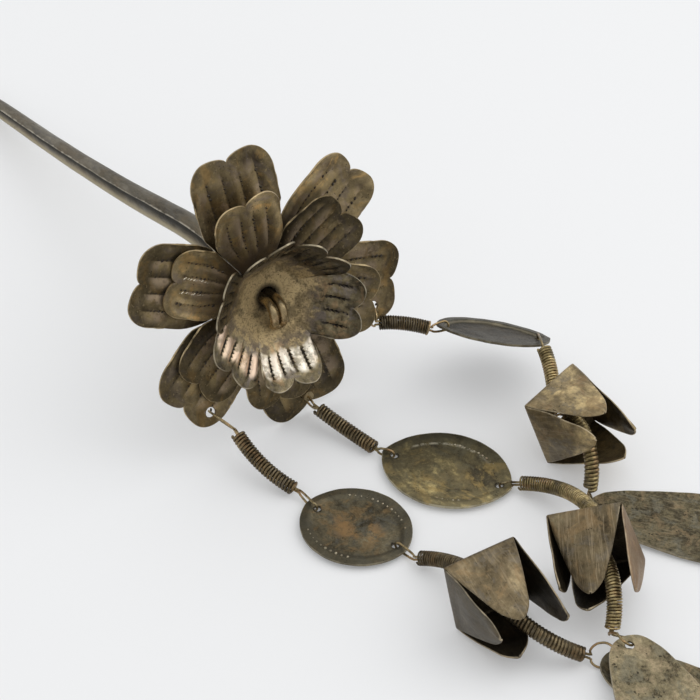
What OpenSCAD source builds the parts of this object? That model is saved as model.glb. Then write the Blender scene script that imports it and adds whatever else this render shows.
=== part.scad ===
/* [Flower] */
// Height of the flower's centre above the surface it lies on
flower_height = 32.5; // [31:0.1:36]
// Upward tilt of the flower's face
flower_lift = 15; // [5:1:25]
// Turn of the flower's face to the side
flower_turn = -2; // [-8:1:8]
// Thickness of the petal sheet
petal_sheet = 0.5; // [0.4:0.05:0.7]
// Depth of the notch between a petal's two lobes
lobe_notch = 1.9; // [0.5:0.1:3]
// Height of the flutes pressed into the petals
flute_height = 0.35; // [0.1:0.05:0.6]
// Distance from one petal layer to the next
layer_step = 1.5; // [1.3:0.1:2.5]
// Radius of the middle hole in every layer
layer_hole = 2.3; // [2.2:0.05:2.8]

/* [Middle loop] */
// Wire diameter of the loop in the flower's middle
loop_wire = 1.9; // [1.4:0.1:2]
// Half the distance between the loop's two legs
loop_half = 1.1; // [1.05:0.05:1.3]

/* [Shaft] */
// Thickness of the sheet that the shaft is rolled from
shaft_sheet = 0.6; // [0.4:0.05:0.8]
// Angle of the lap seam, from the top towards the side
seam_angle = 50; // [40:1:100]
// How far the sheet runs on under its own edge
seam_overlap = 45; // [20:5:80]

/* [Chains] */
// Diameter of the wire that the links are bent from
link_wire = 0.7; // [0.5:0.05:0.8]
// Diameter of the wire that the coils are wound from
coil_wire = 0.7; // [0.5:0.05:0.8]
// Inner diameter of a coil
coil_bore = 1.9; // [1.8:0.05:2]
// Thickness of plates, bells and leaves
chain_sheet = 0.5; // [0.4:0.05:0.6]
// Radius of the holes that the links pass through
hole_radius = 1.2; // [0.95:0.05:1.3]
// Distance from a hole's centre to the end of a plate or leaf
hole_inset = 2.8; // [2.2:0.1:3.2]

/* [Plates] */
// How far a plate's middle is hollowed
plate_dish = 0.8; // [0.2:0.1:0.9]

/* [Bells] */
// Side of a bell's square top
bell_side = 16; // [14:0.5:18]
// Length of a bell's petals
bell_length = 18; // [15:0.5:20]
// Radius of the hole in a bell's top
bell_hole = 1.3; // [1.1:0.05:1.5]
// Width of a bell petal's rounded tip
bell_tip = 5; // [3:0.5:7]
// How far a bell's petals bulge outwards
bell_bulge = 0.6; // [0:0.1:1.5]

/* [Leaves] */
// Length of a leaf
leaf_length = 56; // [45:1:65]
// Greatest width of a leaf
leaf_width = 20.2; // [16:0.2:24]
// Distance from the leaf's hole to its rounded end
leaf_inset = 2.3; // [2:0.1:3]
// Radius of the hole in a leaf
leaf_hole = 1.25; // [1:0.05:1.4]
// How far a leaf's middle is hollowed
leaf_dish = 0.6; // [0:0.1:1]

/* [Hidden] */
$fn = 48;

// The flower's foot is the layout's zero; this shift puts the origin under the middle of the whole piece.
shift = [-0.86, -22.73, -0.05];

gap = 0.15;
wire_sides = 5;
coil_outer = coil_bore + 2 * coil_wire;

// One row for each petal, anticlockwise as seen from the front, starting from straight down:
// angle round the flower, lean forward of the layer's plane, length from the centre, half width
outer_table = [
    [ 14.5, -4, 32.6, 10.8],
    [ 76, -1, 33.9,  9.4],
    [131,  3, 34.0,  8.4],
    [186,  0, 33.5,  9.8],
    [245,  5, 33.0,  9.3],
    [307,  5, 31.4,  9.6]
];
second_table = [
    [358,  0, 26.0, 8.0],
    [ 71,  9, 26.0, 7.8],
    [126,  8, 25.4, 8.0],
    [189, 12, 26.0, 8.0],
    [242,  3, 25.0, 7.6],
    [304,  4, 25.2, 8.2]
];
cup_table = [
    [356, 28, 20.0, 7.6],
    [ 72, 30, 20.2, 7.6],
    [135, 41, 20.0, 7.6],
    [194, 37, 20.0, 7.6],
    [243, 30, 20.0, 7.4],
    [305, 21, 20.0, 7.6]
];
// For each layer: step number, disc radius, dish of the hub, curl of the edges, bend of the lean
outer_form  = [0, 7.0, 0.0, 0.5, 1.3];
second_form = [1, 6.5, 0.85, 0.6, 1.3];
cup_form    = [2, 6.5, 1.2, 0.8, 1.2];
// Holes for the chains in the outer petals: row of outer_table, distance from the centre, distance to the side
petal_holes = [
    [0, 28.8, -0.4],
    [1, 28.2, -5.9],
    [5, 27.2, 6.2]
];

// Shaft's middle line and diameter: along, height, diameter
shaft_table = [
    [  -0.5, 32.3, 5.9],
    [  -4.5, 31.3, 5.9],
    [  -9.0, 31.1, 6.0],
    [ -15.0, 32.0, 6.0],
    [ -22.0, 32.1, 6.0],
    [ -31.0, 30.5, 6.0],
    [ -43.0, 27.1, 5.8],
    [ -59.0, 22.4, 5.5],
    [ -78.0, 17.4, 5.1],
    [ -98.0, 12.6, 4.8],
    [-114.0,  9.1, 4.6],
    [-132.0,  5.3, 4.2],
    [-145.0,  2.9, 3.0],
    [-155.0,  1.1, 1.2]
];

// Where plates lie: x, y, z, heading, pitch, roll, length, width
plate_1_place = [44.2, -4.9, 1.45, 23, 0, 0, 25.4, 22.4];
plate_2_place = [40.3, 21.0, 1.45, 34, 0, 0, 30, 23];
plate_3_place = [19.3, 48.0, 13.5, 62, -13, -25, 26.5, 22.2];
// Where bells and leaves lie: x, y, z, heading, pitch, roll
bell_1_place = [78.0, 3.7, 9.1, -8, 10, 7];
bell_2_place = [81.3, 29.2, 10.9, -43, 2, 22];
bell_3_place = [45.3, 47.1, 9.1, 9, 20, 10];
leaf_1_place = [104.4, 16.7, 2.2, 20, -1.9, 0];
leaf_2_place = [104.6, 20.2, 5.0, -13, -4.9, 0];
leaf_3_place = [67.4, 41.3, 1.5, 42, -1, 0];

// Each bell's petals in turn: lean inwards, swing of the tip to the side
bell_1_petals = [[19, -0.1], [8, 0.5], [8, 2.6], [-3, 1.5]];
bell_2_petals = [[32, -0.1], [11, 3.1], [14, 1.2], [-5, 0.0]];
bell_3_petals = [[7, -1.7], [6, 2.4], [5, 1.1], [12, 3.3]];

// Leaf outline: distance from the rounded end, half width
leaf_table = [
    [ 0.0, 0.6],
    [ 0.6, 2.4],
    [ 1.8, 3.9],
    [ 4.0, 5.3],
    [ 7.5, 6.6],
    [12.0, 7.9],
    [18.0, 9.2],
    [25.0, 10.1],
    [32.0, 10.0],
    [39.0, 8.6],
    [46.0, 6.0],
    [52.0, 3.0],
    [55.0, 1.2],
    [56.0, 0.4]
];

// Coils: start, end, bow of the middle off the straight line
coil_1a_row = [[11.7, -14.4, 8.0], [28.2, -9.9, 2.0], [0.2, -1.0, -0.5]];
coil_1b_row = [[59.6, 0.6, 2.0], placed_point(bell_1_place, [-0.95, 0, 0]), [-0.4, 1.5, 0.3]];
coil_1c_row = [placed_point(bell_1_place, [2.8, 0, 0]), [100.1, 12.7, 2.4], [1.5, -3.2, 1.7]];
coil_2a_row = [[10.9, 6.6, 4.6], [26.6, 11.6, 2.0], [0, 0.1, -0.4]];
coil_2b_row = [[52.9, 31.3, 2.2], placed_point(bell_2_place, [-1.9, 0, 0]), [1.4, 4.4, 1.0]];
coil_2c_row = [placed_point(bell_2_place, [2.9, 0, 0]), [99.2, 20.0, 4.8], [0.5, 1.1, 3.7]];
coil_3a_row = [[7.3, 25.1, 18.1], [13.2, 34.7, 16.3], [-0.3, 0.1, 0.4]];
coil_3b_row = [placed_point(plate_3_place, [9.3, -9.1, 0]), placed_point(bell_3_place, [-1.6, 0, 0]), [0, 0.6, 0.7]];
coil_3c_row = [placed_point(bell_3_place, [3, 0, 0]), [62.6, 42.7, 2.1], [0.3, 0.9, 4.6]];

flute_columns = 10;
petal_rows = [0.3, 0.6, 0.85, 1];
strand_half = 0.37;
// How far a link's strands keep together beyond a coil's ends, as a part of its length
coil_lead = 0.05;

function unit(v) = v / norm(v);

function clamp(v, low, high) = min(max(v, low), high);

function mix(a, b, t) = a + (b - a) * t;

// Turn of a frame given by heading, pitch and roll, as three unit vectors
function axes(h, p, r) = let(
        x = [cos(p) * cos(h), cos(p) * sin(h), sin(p)],
        y0 = [-sin(h), cos(h), 0],
        z0 = cross(x, y0))
    [x, y0 * cos(r) + z0 * sin(r), z0 * cos(r) - y0 * sin(r)];

function place_axes(place) = axes(place[3], place[4], place[5]);

function placed_point(place, p) = let(a = place_axes(place))
    [place[0], place[1], place[2]] + a[0] * p[0] + a[1] * p[1] + a[2] * p[2];

function matrix(origin, x, y, z) = [
    [x[0], y[0], z[0], origin[0]],
    [x[1], y[1], z[1], origin[1]],
    [x[2], y[2], z[2], origin[2]],
    [0, 0, 0, 1]
];

module in_place(place) {
    a = place_axes(place);
    multmatrix(matrix([place[0], place[1], place[2]], a[0], a[1], a[2]))
        children();
}

// Directions of the flower: out of its face, across its face, down its face
flower_out = [cos(flower_lift) * cos(flower_turn), cos(flower_lift) * sin(flower_turn), sin(flower_lift)];
flower_across = [-sin(flower_turn), cos(flower_turn), 0];
flower_down = cross(flower_across, flower_out);
flower_centre = [0, 0, flower_height];

module on_flower() {
    multmatrix(matrix(flower_centre, flower_down, flower_across, flower_out))
        children();
}

function flower_point(p) =
    flower_centre + flower_down * p[0] + flower_across * p[1] + flower_out * p[2];

function flower_direction(p) = flower_down * p[0] + flower_across * p[1] + flower_out * p[2];

// Sheet metal: a grid of points for each lobe, [lobe][row][column], thickened on both sides.
// Rows up to the joined one run on from lobe to lobe; past it each lobe is cut free.
function grid_corner(lobes, joined, last, p, i, j) =
    (j == last && i <= joined) ? [(p + 1) % lobes, i, 0] : [p, i, j];

function grid_index(grid, joined, p, i, j, side) = let(
        rows = len(grid[0]), columns = len(grid[0][0]),
        c = grid_corner(len(grid), joined, columns - 1, p, i, j))
    ((c[0] * rows + c[1]) * columns + c[2]) * 2 + side;

function grid_normal(grid, joined, p, i, j) = let(
        lobes = len(grid), rows = len(grid[0]), last = len(grid[0][0]) - 1,
        before = j > 0 ? grid[p][i][j - 1]
            : i <= joined ? grid[(p + lobes - 1) % lobes][i][last - 1] : grid[p][i][0],
        after = j < last ? grid[p][i][j + 1]
            : i <= joined ? grid[(p + 1) % lobes][i][1] : grid[p][i][last],
        along = grid[p][min(i + 1, rows - 1)][j] - grid[p][max(i - 1, 0)][j])
    unit(cross(along, after - before));

function quad(a, b, c, d) = [[a, b, c], [a, c, d]];

module sheet_solid(grid, joined, sheet) {
    lobes = len(grid);
    rows = len(grid[0]) - 1;
    last = len(grid[0][0]) - 1;
    cut_from = max(joined, 0);
    points = [
        for (p = [0 : lobes - 1], i = [0 : rows], j = [0 : last], side = [0.5, -0.5])
            grid[p][i][j] + grid_normal(grid, joined, p, i, j) * sheet * side
    ];
    f = function(p, i, j) grid_index(grid, joined, p, i, j, 0);
    b = function(p, i, j) grid_index(grid, joined, p, i, j, 1);
    faces = [
        for (p = [0 : lobes - 1], i = [0 : rows - 1], j = [0 : last - 1]) each concat(
            quad(f(p, i, j), f(p, i, j + 1), f(p, i + 1, j + 1), f(p, i + 1, j)),
            quad(b(p, i, j), b(p, i + 1, j), b(p, i + 1, j + 1), b(p, i, j + 1))),
        for (p = [0 : lobes - 1], j = [0 : last - 1]) each concat(
            quad(f(p, 0, j + 1), f(p, 0, j), b(p, 0, j), b(p, 0, j + 1)),
            quad(f(p, rows, j), f(p, rows, j + 1), b(p, rows, j + 1), b(p, rows, j))),
        for (p = [0 : lobes - 1], i = [cut_from : rows - 1]) each concat(
            quad(f(p, i, 0), f(p, i + 1, 0), b(p, i + 1, 0), b(p, i, 0)),
            quad(f(p, i + 1, last), f(p, i, last), b(p, i, last), b(p, i + 1, last)))
    ];
    polyhedron(points, faces, convexity = 10);
}

// Outline of a petal's end: full length at the lobes, less at the notch and at the corners
function lobe_drop(t, half) = let(
        s = (abs(t) - 0.5) / 0.5,
        depth = s < 0 ? lobe_notch : half * 0.62)
    depth * (1 - sqrt(max(0, 1 - s * s)));

// Half width of a petal at a distance q from its root, 0 to 1
function petal_half(half, q) = half * (0.42 + 0.58 * sin(90 * clamp(q / 0.62, 0, 1)));

// A point of a petal's middle surface in the layer's own plane frame
function petal_point(form, row, room, q, t) = let(
        disc = form[1],
        reach = row[2] * cos(row[1]),
        rise = row[2] * sin(row[1]),
        end = reach - lobe_drop(t, row[3]),
        r = disc + (end - disc) * q,
        side = t < 0 ? room[0] : room[1],
        w = min(petal_half(row[3], q), r * tan(side) - gap),
        y = t * w,
        part = (r - disc) / (reach - disc),
        flute = flute_height * cos(900 * t) * sin(180 * clamp((q - 0.1) / 0.9, 0, 1)),
        z = rise * pow(max(part, 0), form[4]) + form[3] * t * t * q + flute)
    [r * cos(row[0]) - y * sin(row[0]), r * sin(row[0]) + y * cos(row[0]), z];

function disc_point(form, row, room, r, t) = let(
        a = row[0] + t * (t < 0 ? room[0] : room[1]),
        z = -form[2] * (1 - pow(r / form[1], 2)))
    [r * cos(a), r * sin(a), z];

// Half the angle from a petal to each of its neighbours
function petal_room(table, p) = let(
        n = len(table),
        before = (table[p][0] - table[(p + n - 1) % n][0] + 720) % 360,
        after = (table[(p + 1) % n][0] - table[p][0] + 720) % 360)
    [before / 2, after / 2];

function layer_grid(form, table) = [
    for (p = [0 : len(table) - 1]) let(room = petal_room(table, p)) concat(
        [for (r = [layer_hole, form[1]])
            [for (j = [0 : flute_columns]) disc_point(form, table[p], room, r, 2 * j / flute_columns - 1)]],
        [for (q = petal_rows)
            [for (j = [0 : flute_columns]) petal_point(form, table[p], room, q, 2 * j / flute_columns - 1)]])
];

module petal_layer(form, table) {
    on_flower()
        translate([0, 0, form[0] * layer_step])
            sheet_solid(layer_grid(form, table), 1, petal_sheet);
}

// Height of an outer petal's middle surface at a hole
function hole_point(hole) = let(
        row = outer_table[hole[0]],
        reach = row[2] * cos(row[1]),
        rise = row[2] * sin(row[1]),
        part = (hole[1] - outer_form[1]) / (reach - outer_form[1]))
    [hole[1] * cos(row[0]) - hole[2] * sin(row[0]), hole[1] * sin(row[0]) + hole[2] * cos(row[0]),
        rise * pow(part, outer_form[4])];

module outer_petals() {
    color("#6b6049")
        difference() {
            petal_layer(outer_form, outer_table);
            on_flower()
                for (hole = petal_holes)
                    translate(hole_point(hole))
                        cylinder(h = 6, r = hole_radius, center = true, $fn = 12);
        }
}

module second_petals() {
    color("#736749")
        petal_layer(second_form, second_table);
}

module cup_petals() {
    color("#8a7a5c")
        petal_layer(cup_form, cup_table);
}

// Height of the cup's hub above the flower's centre
hub_height = 2 * layer_step - cup_form[2];

// Wire: a ring of points round each point of its path
function path_tangent(path, i, closed) = let(n = len(path))
    unit(path[closed ? (i + 1) % n : min(i + 1, n - 1)] - path[closed ? (i + n - 1) % n : max(i - 1, 0)]);

module wire(path, sides, diameter, count, closed) {
    n = len(path);
    points = [
        for (i = [0 : n - 1]) let(
                t = path_tangent(path, i, closed),
                u = unit(sides[i] - t * (sides[i] * t)),
                v = cross(t, u))
            for (k = [0 : count - 1])
                path[i] + (u * cos(360 * k / count) + v * sin(360 * k / count)) * diameter / 2
    ];
    faces = [
        for (i = [0 : closed ? n - 1 : n - 2], k = [0 : count - 1]) each quad(
            i * count + k,
            i * count + (k + 1) % count,
            ((i + 1) % n) * count + (k + 1) % count,
            ((i + 1) % n) * count + k),
        if (!closed) [for (k = [count - 1 : -1 : 0]) k],
        if (!closed) [for (k = [0 : count - 1]) (n - 1) * count + k]
    ];
    polyhedron(points, [for (f = faces) [for (k = [len(f) - 1 : -1 : 0]) f[k]]], convexity = 10);
}

// The middle loop rises out of the hole, arches over and comes down in a narrow bend
loop_arch = concat(
    [[0.2, -3.0], [0.2, -0.6], [0.2, 1.2 + hub_height]],
    [for (a = [160, 135, 110, 85, 62, 42]) [3.1 + 2.9 * cos(a), 1.6 + hub_height + 2.9 * sin(a)]]);
loop_end = loop_arch[len(loop_arch) - 1];
loop_path = concat(
    [for (p = loop_arch) [p[0], -loop_half, p[1]]],
    [for (a = [-60, -30, 0, 30, 60])
        [loop_end[0] + loop_half * cos(a) * 0.669, loop_half * sin(a), loop_end[1] - loop_half * cos(a) * 0.743]],
    [for (i = [len(loop_arch) - 1 : -1 : 0]) [loop_arch[i][0], loop_half, loop_arch[i][1]]]);

module centre_loop() {
    n = len(loop_path);
    color("#7a683f")
        on_flower()
            wire(
                loop_path,
                [for (i = [0 : n - 1]) let(t = path_tangent(loop_path, i, false)) cross(t, [t[2], 0, -t[0]]) + [0.001, 0, 0]],
                loop_wire, 8, false);
}

// Shaft: a sheet rolled round until it laps over its own edge
function seam_turn(i) = seam_overlap * clamp((i - 1) / 3, 0, 1);

function shaft_radius(i, angle) = let(
        r = shaft_table[i][2] / 2,
        step = (min(shaft_sheet, r * 0.32) + 0.1) * clamp((i - 1) / 3, 0, 1),
        t = clamp((angle - seam_angle) / 80, 0, 1))
    r - step * (1 - t * t * (3 - 2 * t));

function shaft_axes(i) = let(
        n = len(shaft_table) - 1,
        a = shaft_table[max(i - 1, 0)],
        b = shaft_table[min(i + 1, n)],
        d = unit([b[0] - a[0], 0, b[1] - a[1]]))
    i == 0 ? [flower_across, -flower_down] : [[0, 1, 0], cross(d, [0, 1, 0]) * -1];

module shaft() {
    steps = 18;
    rows = len(shaft_table);
    count = 2 * (steps + 1);
    points = [
        for (i = [0 : rows - 1]) let(
                a = shaft_axes(i),
                sheet = min(shaft_sheet, shaft_table[i][2] * 0.16),
                from = seam_angle - seam_turn(i) + (i < 2 ? 3 : 0),
                centre = i == 0 ? flower_point([0, 0, -petal_sheet / 2]) : [shaft_table[i][0], 0, shaft_table[i][1]])
            for (k = [0 : count - 1]) let(
                    inner = k > steps,
                    j = inner ? count - 1 - k : k,
                    angle = mix(from, seam_angle + 360, j / steps),
                    r = shaft_radius(i, angle) - (inner ? sheet : 0))
                centre - a[0] * sin(angle) * r + a[1] * cos(angle) * r
    ];
    band = [for (j = [0 : steps - 1]) [j, j + 1, count - 2 - j, count - 1 - j]];
    last = (rows - 1) * count;
    faces = concat(
        [for (i = [0 : rows - 2], k = [0 : count - 1]) each quad(
            i * count + k, i * count + (k + 1) % count,
            (i + 1) * count + (k + 1) % count, (i + 1) * count + k)],
        [for (f = band) each quad(f[3], f[2], f[1], f[0])],
        [for (f = band) each quad(f[0] + last, f[1] + last, f[2] + last, f[3] + last)]);
    color("#85806f")
        polyhedron(points, faces, convexity = 10);
}

// Ends of a coil's arc, worked out from its chord and its bow
function coil_arc(row) = let(
        s = row[0], e = row[1], bow = norm(row[2]),
        chord = norm(e - s),
        along = unit(e - s),
        up = unit(row[2] - along * (row[2] * along)),
        radius = (chord * chord / 4 + bow * bow) / (2 * bow),
        centre = (s + e) / 2 - up * (radius - bow),
        x = unit(s - centre),
        y = unit(along - x * (along * x)))
    [centre, radius, x, y, 2 * asin(chord / 2 / radius)];

function coil_point(row, t) = let(a = coil_arc(row), turn = a[4] * t)
    a[0] + a[1] * (a[2] * cos(turn) + a[3] * sin(turn));

module coil(row) {
    a = coil_arc(row);
    color("#7b6a3e")
        multmatrix(matrix(a[0], a[2], a[3], cross(a[2], a[3])))
            rotate_extrude(angle = a[4])
                translate([a[1], 0])
                    difference() {
                        circle(d = coil_outer);
                        circle(d = coil_bore);
                    }
}

// Stations of a link's middle line: point, direction in which its strands spread, half their distance
function eye(tip, out, spread, half, depth) = [
    for (a = [0, 35, 65, 90]) [tip + out * depth * (1 - cos(a)), spread, half * sin(a)]
];

function neck(from, to, spread, half) = [
    for (s = [0.4, 0.75, 0.9]) [mix(from, to, s), spread, strand_half + (half - strand_half) * sqrt(1 - s * s)]
];

function through_coil(row, from_spread, to_spread, t0, t1) = [
    for (k = [-coil_lead, 0.14, 0.32, 0.5, 0.68, 0.86, 1 + coil_lead])
        [coil_point(row, k), unit(mix(from_spread, to_spread, mix(t0, t1, k))), strand_half]
];

function reversed(list) = [for (i = [len(list) - 1 : -1 : 0]) list[i]];

// Eye through a petal: row of petal_holes, direction to the nearest rim in the layer's plane, half width
function petal_eye(hole, rim, half) = let(
        spread = flower_direction([cos(rim), sin(rim), 0]),
        middle = flower_point(hole_point(hole)) + spread * half)
    [middle - flower_out * 1.2, flower_out, spread, half, 1.2];

// Eye round a plate's or leaf's end: sign of the end, half width, tilt of the strands
function end_eye(place, x, side, half, tilt) = let(
        a = place_axes(place),
        tip = placed_point(place, [x, 0, 0]))
    [tip, a[0] * side, a[2] * cos(tilt) + a[1] * sin(tilt), half, half];

function side_eye(place, x, half, tilt) = let(
        a = place_axes(place),
        tip = placed_point(place, [x, 0, 0]))
    [tip, -a[1], a[2] * cos(tilt) - a[0] * sin(tilt), half, half];

function eye_stations(e) = eye(e[0], e[1], e[2], e[3], e[4]);

function eye_middle(e) = e[0] + e[1] * e[4];

function short_link(first, row, second) = concat(
    eye_stations(first),
    neck(eye_middle(first), coil_point(row, -coil_lead), first[2], first[3]),
    through_coil(row, first[2], second[2], 0, 1),
    reversed(neck(eye_middle(second), coil_point(row, 1 + coil_lead), second[2], second[3])),
    reversed(eye_stations(second)));

function long_link(first, row, hole, next, second) = concat(
    eye_stations(first),
    neck(eye_middle(first), coil_point(row, -coil_lead), first[2], first[3]),
    through_coil(row, first[2], second[2], 0, 0.5),
    [[hole, unit(first[2] + second[2]), strand_half]],
    through_coil(next, first[2], second[2], 0.5, 1),
    reversed(neck(eye_middle(second), coil_point(next, 1 + coil_lead), second[2], second[3])),
    reversed(eye_stations(second)));

module link(stations) {
    n = len(stations);
    direction = [for (i = [0 : n - 1]) unit(stations[min(i + 1, n - 1)][0] - stations[max(i - 1, 0)][0])];
    spread = [for (i = [0 : n - 1]) let(w = stations[i][1], d = direction[i]) unit(w - d * (w * d))];
    near = [for (i = [0 : n - 1]) stations[i][0] + spread[i] * stations[i][2]];
    far = [for (i = [n - 2 : -1 : 1]) stations[i][0] - spread[i] * stations[i][2]];
    side = [for (i = [0 : n - 1]) cross(direction[i], spread[i])];
    color("#9c8340")
        wire(
            concat(near, far),
            concat(side, [for (i = [n - 2 : -1 : 1]) side[i]]),
            link_wire, wire_sides, true);
}

module cut_holes(places, radius) {
    difference() {
        children();
        for (p = places)
            translate(p)
                cylinder(h = 4, r = radius, center = true, $fn = 12);
    }
}

// Plate: a pointed oval between two arcs, hollowed a little
module plate(place) {
    half = place[6] / 2;
    arc = (half * half + place[7] * place[7] / 4) / place[7];
    grid = [[
        for (a = [-85 : 17 : 86]) let(
                x = sin(a) * half / sin(85) * 0.995,
                w = sqrt(arc * arc - x * x) - arc + place[7] / 2)
            [for (t = [-1 : 0.25 : 1])
                [x, t * w, -plate_dish * (1 - pow(x / half, 2)) * (1 - t * t)]]
    ]];
    color("#736a4c")
        in_place(place)
            cut_holes([[-half + hole_inset, 0, 0], [half - hole_inset, 0, 0]], hole_radius)
                sheet_solid(grid, -1, chain_sheet);
}

// Leaf: rounded at its hole, widest past the middle, pointed at its far end
module leaf(place) {
    grid = [[
        for (row = leaf_table)
            [for (t = [-1 : 0.25 : 1])
                [row[0] * leaf_length / 56 - leaf_inset, t * row[1] * leaf_width / 20.2, -leaf_dish * (1 - t * t) * row[1] / 10]]
    ]];
    color("#7c7350")
        in_place(place)
            cut_holes([[0, 0, 0]], leaf_hole)
                sheet_solid(grid, -1, chain_sheet);
}

// Bell: a square sheet pierced in the middle, with a petal folded down from each side
bell_columns = 6;
bell_rows = [[0.3, 0], [0.6, 0], [0.82, 0.02], [0.94, 0.18], [1, 0.6]];

function bell_out(p) = [[0, 0, 1], [0, -1, 0], [0, 0, -1], [0, 1, 0]][p];

function bell_along(p) = [[0, 1, 0], [0, 0, 1], [0, -1, 0], [0, 0, -1]][p];

function bell_petal_point(petals, p, row, u) = let(
        lean = petals[p][0],
        q = row[0],
        half = (mix(bell_side / 2 - 0.15, bell_tip / 2, q)) * (1 - row[1]))
    bell_out(p) * (bell_side / 2 - bell_length * q * sin(lean) + bell_bulge * (1 - u * u) * sin(150 * q))
        + [bell_length * q * cos(lean), 0, 0]
        + bell_along(p) * (petals[p][1] * q - u * half);

module bell(place, petals) {
    grid = [
        for (p = [0 : 3]) concat(
            [[for (j = [0 : bell_columns]) let(a = 45 + 90 * p + 90 * j / bell_columns)
                [0, bell_hole * cos(a), bell_hole * sin(a)]]],
            [[for (j = [0 : bell_columns]) let(u = 2 * j / bell_columns - 1)
                (bell_out(p) - bell_along(p) * u) * bell_side / 2]],
            [for (row = bell_rows)
                [for (j = [0 : bell_columns]) bell_petal_point(petals, p, row, 2 * j / bell_columns - 1)]])
    ];
    color("#7f7756")
        in_place(place)
            sheet_solid(grid, 1, chain_sheet);
}

petal_eye_1 = petal_eye(petal_holes[2], 37, 2.2);
petal_eye_2 = petal_eye(petal_holes[0], 14.5, 1.75);
petal_eye_3 = petal_eye(petal_holes[1], -14, 2.1);
plate_1_left = end_eye(plate_1_place, hole_inset - plate_1_place[6] / 2, -1, 1.05, 0);
plate_1_right = end_eye(plate_1_place, plate_1_place[6] / 2 - hole_inset, 1, 1.05, 0);
plate_2_left = end_eye(plate_2_place, hole_inset - plate_2_place[6] / 2, -1, 1.05, 0);
plate_2_right = end_eye(plate_2_place, plate_2_place[6] / 2 - hole_inset, 1, 1.05, 0);
plate_3_left = end_eye(plate_3_place, hole_inset - plate_3_place[6] / 2, -1, 1.05, 0);
// The last plate hangs on its side edge: this eye goes round the edge beside its hole.
plate_3_right = side_eye(plate_3_place, plate_3_place[6] / 2 - hole_inset, 1.3, 25);
leaf_1_eye = end_eye(leaf_1_place, 0, -1, 2.5, 50);
leaf_2_eye = end_eye(leaf_2_place, 0, -1, 2.4, -50);
leaf_3_eye = end_eye(leaf_3_place, 0, -1, 1.0, 0);

module link_1a() {
    link(short_link(petal_eye_1, coil_1a_row, plate_1_left));
}

module link_2a() {
    link(short_link(petal_eye_2, coil_2a_row, plate_2_left));
}

module link_3a() {
    link(short_link(petal_eye_3, coil_3a_row, plate_3_left));
}

module link_1b() {
    link(long_link(plate_1_right, coil_1b_row, placed_point(bell_1_place, [0, 0, 0]), coil_1c_row, leaf_1_eye));
}

module link_2b() {
    link(long_link(plate_2_right, coil_2b_row, placed_point(bell_2_place, [0, 0, 0]), coil_2c_row, leaf_2_eye));
}

module link_3b() {
    link(long_link(plate_3_right, coil_3b_row, placed_point(bell_3_place, [0, 0, 0]), coil_3c_row, leaf_3_eye));
}

translate(shift) {
    shaft();
    outer_petals();
    second_petals();
    cup_petals();
    centre_loop();
    link_1a();
    coil(coil_1a_row);  // coil_1a
    plate(plate_1_place);  // plate_1
    link_1b();
    coil(coil_1b_row);  // coil_1b
    bell(bell_1_place, bell_1_petals);  // bell_1
    coil(coil_1c_row);  // coil_1c
    leaf(leaf_1_place);  // leaf_1
    link_2a();
    coil(coil_2a_row);  // coil_2a
    plate(plate_2_place);  // plate_2
    link_2b();
    coil(coil_2b_row);  // coil_2b
    bell(bell_2_place, bell_2_petals);  // bell_2
    coil(coil_2c_row);  // coil_2c
    leaf(leaf_2_place);  // leaf_2
    link_3a();
    coil(coil_3a_row);  // coil_3a
    plate(plate_3_place);  // plate_3
    link_3b();
    coil(coil_3b_row);  // coil_3b
    bell(bell_3_place, bell_3_petals);  // bell_3
    coil(coil_3c_row);  // coil_3c
    leaf(leaf_3_place);  // leaf_3
}
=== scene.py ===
import math

import bmesh
import bpy
from mathutils import Matrix, Vector, noise


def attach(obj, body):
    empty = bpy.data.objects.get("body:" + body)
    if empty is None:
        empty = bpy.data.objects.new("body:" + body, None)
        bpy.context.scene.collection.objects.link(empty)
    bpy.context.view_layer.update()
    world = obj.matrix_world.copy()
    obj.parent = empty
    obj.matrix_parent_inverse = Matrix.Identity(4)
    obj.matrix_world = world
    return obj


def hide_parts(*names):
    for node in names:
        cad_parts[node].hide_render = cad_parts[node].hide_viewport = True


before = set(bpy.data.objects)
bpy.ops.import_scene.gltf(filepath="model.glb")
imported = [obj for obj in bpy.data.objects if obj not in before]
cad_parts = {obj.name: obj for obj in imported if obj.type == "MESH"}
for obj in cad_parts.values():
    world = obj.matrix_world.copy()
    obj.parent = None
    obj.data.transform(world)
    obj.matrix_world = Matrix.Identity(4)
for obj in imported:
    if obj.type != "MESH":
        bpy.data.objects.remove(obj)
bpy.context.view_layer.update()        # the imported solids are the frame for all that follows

mm = 0.001
layoutShift = Vector((-0.86, -22.73, -0.05))  # the sizes below are laid out from the flower's foot
mergeDistance = 2e-6
sheetThickness = 0.5
holeRadius = 1.15
linkWire = 0.52
flutesPerSide = 2.5  # waves of a petal's flutes from its middle to its side
print("frame loaded")


def cosDeg(angle):
    return math.cos(math.radians(angle))


def sinDeg(angle):
    return math.sin(math.radians(angle))


def clamp(value, low=0.0, high=1.0):
    return min(max(value, low), high)


def mix(a, b, share):
    return a + (b - a) * share


def ease(share):
    share = clamp(share)
    return share * share * (3 - 2 * share)


def toFrame(point):
    return (point + layoutShift) * mm


def axesOf(heading, pitch, roll):
    x = Vector((cosDeg(pitch) * cosDeg(heading), cosDeg(pitch) * sinDeg(heading), sinDeg(pitch)))
    level = Vector((-sinDeg(heading), cosDeg(heading), 0))
    upright = x.cross(level)
    return x, level * cosDeg(roll) + upright * sinDeg(roll), upright * cosDeg(roll) - level * sinDeg(roll)


def placed(place, x, y=0.0, z=0.0):
    along, across, up = axesOf(*place[3:6])
    return Vector(place[:3]) + along * x + across * y + up * z


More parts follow.
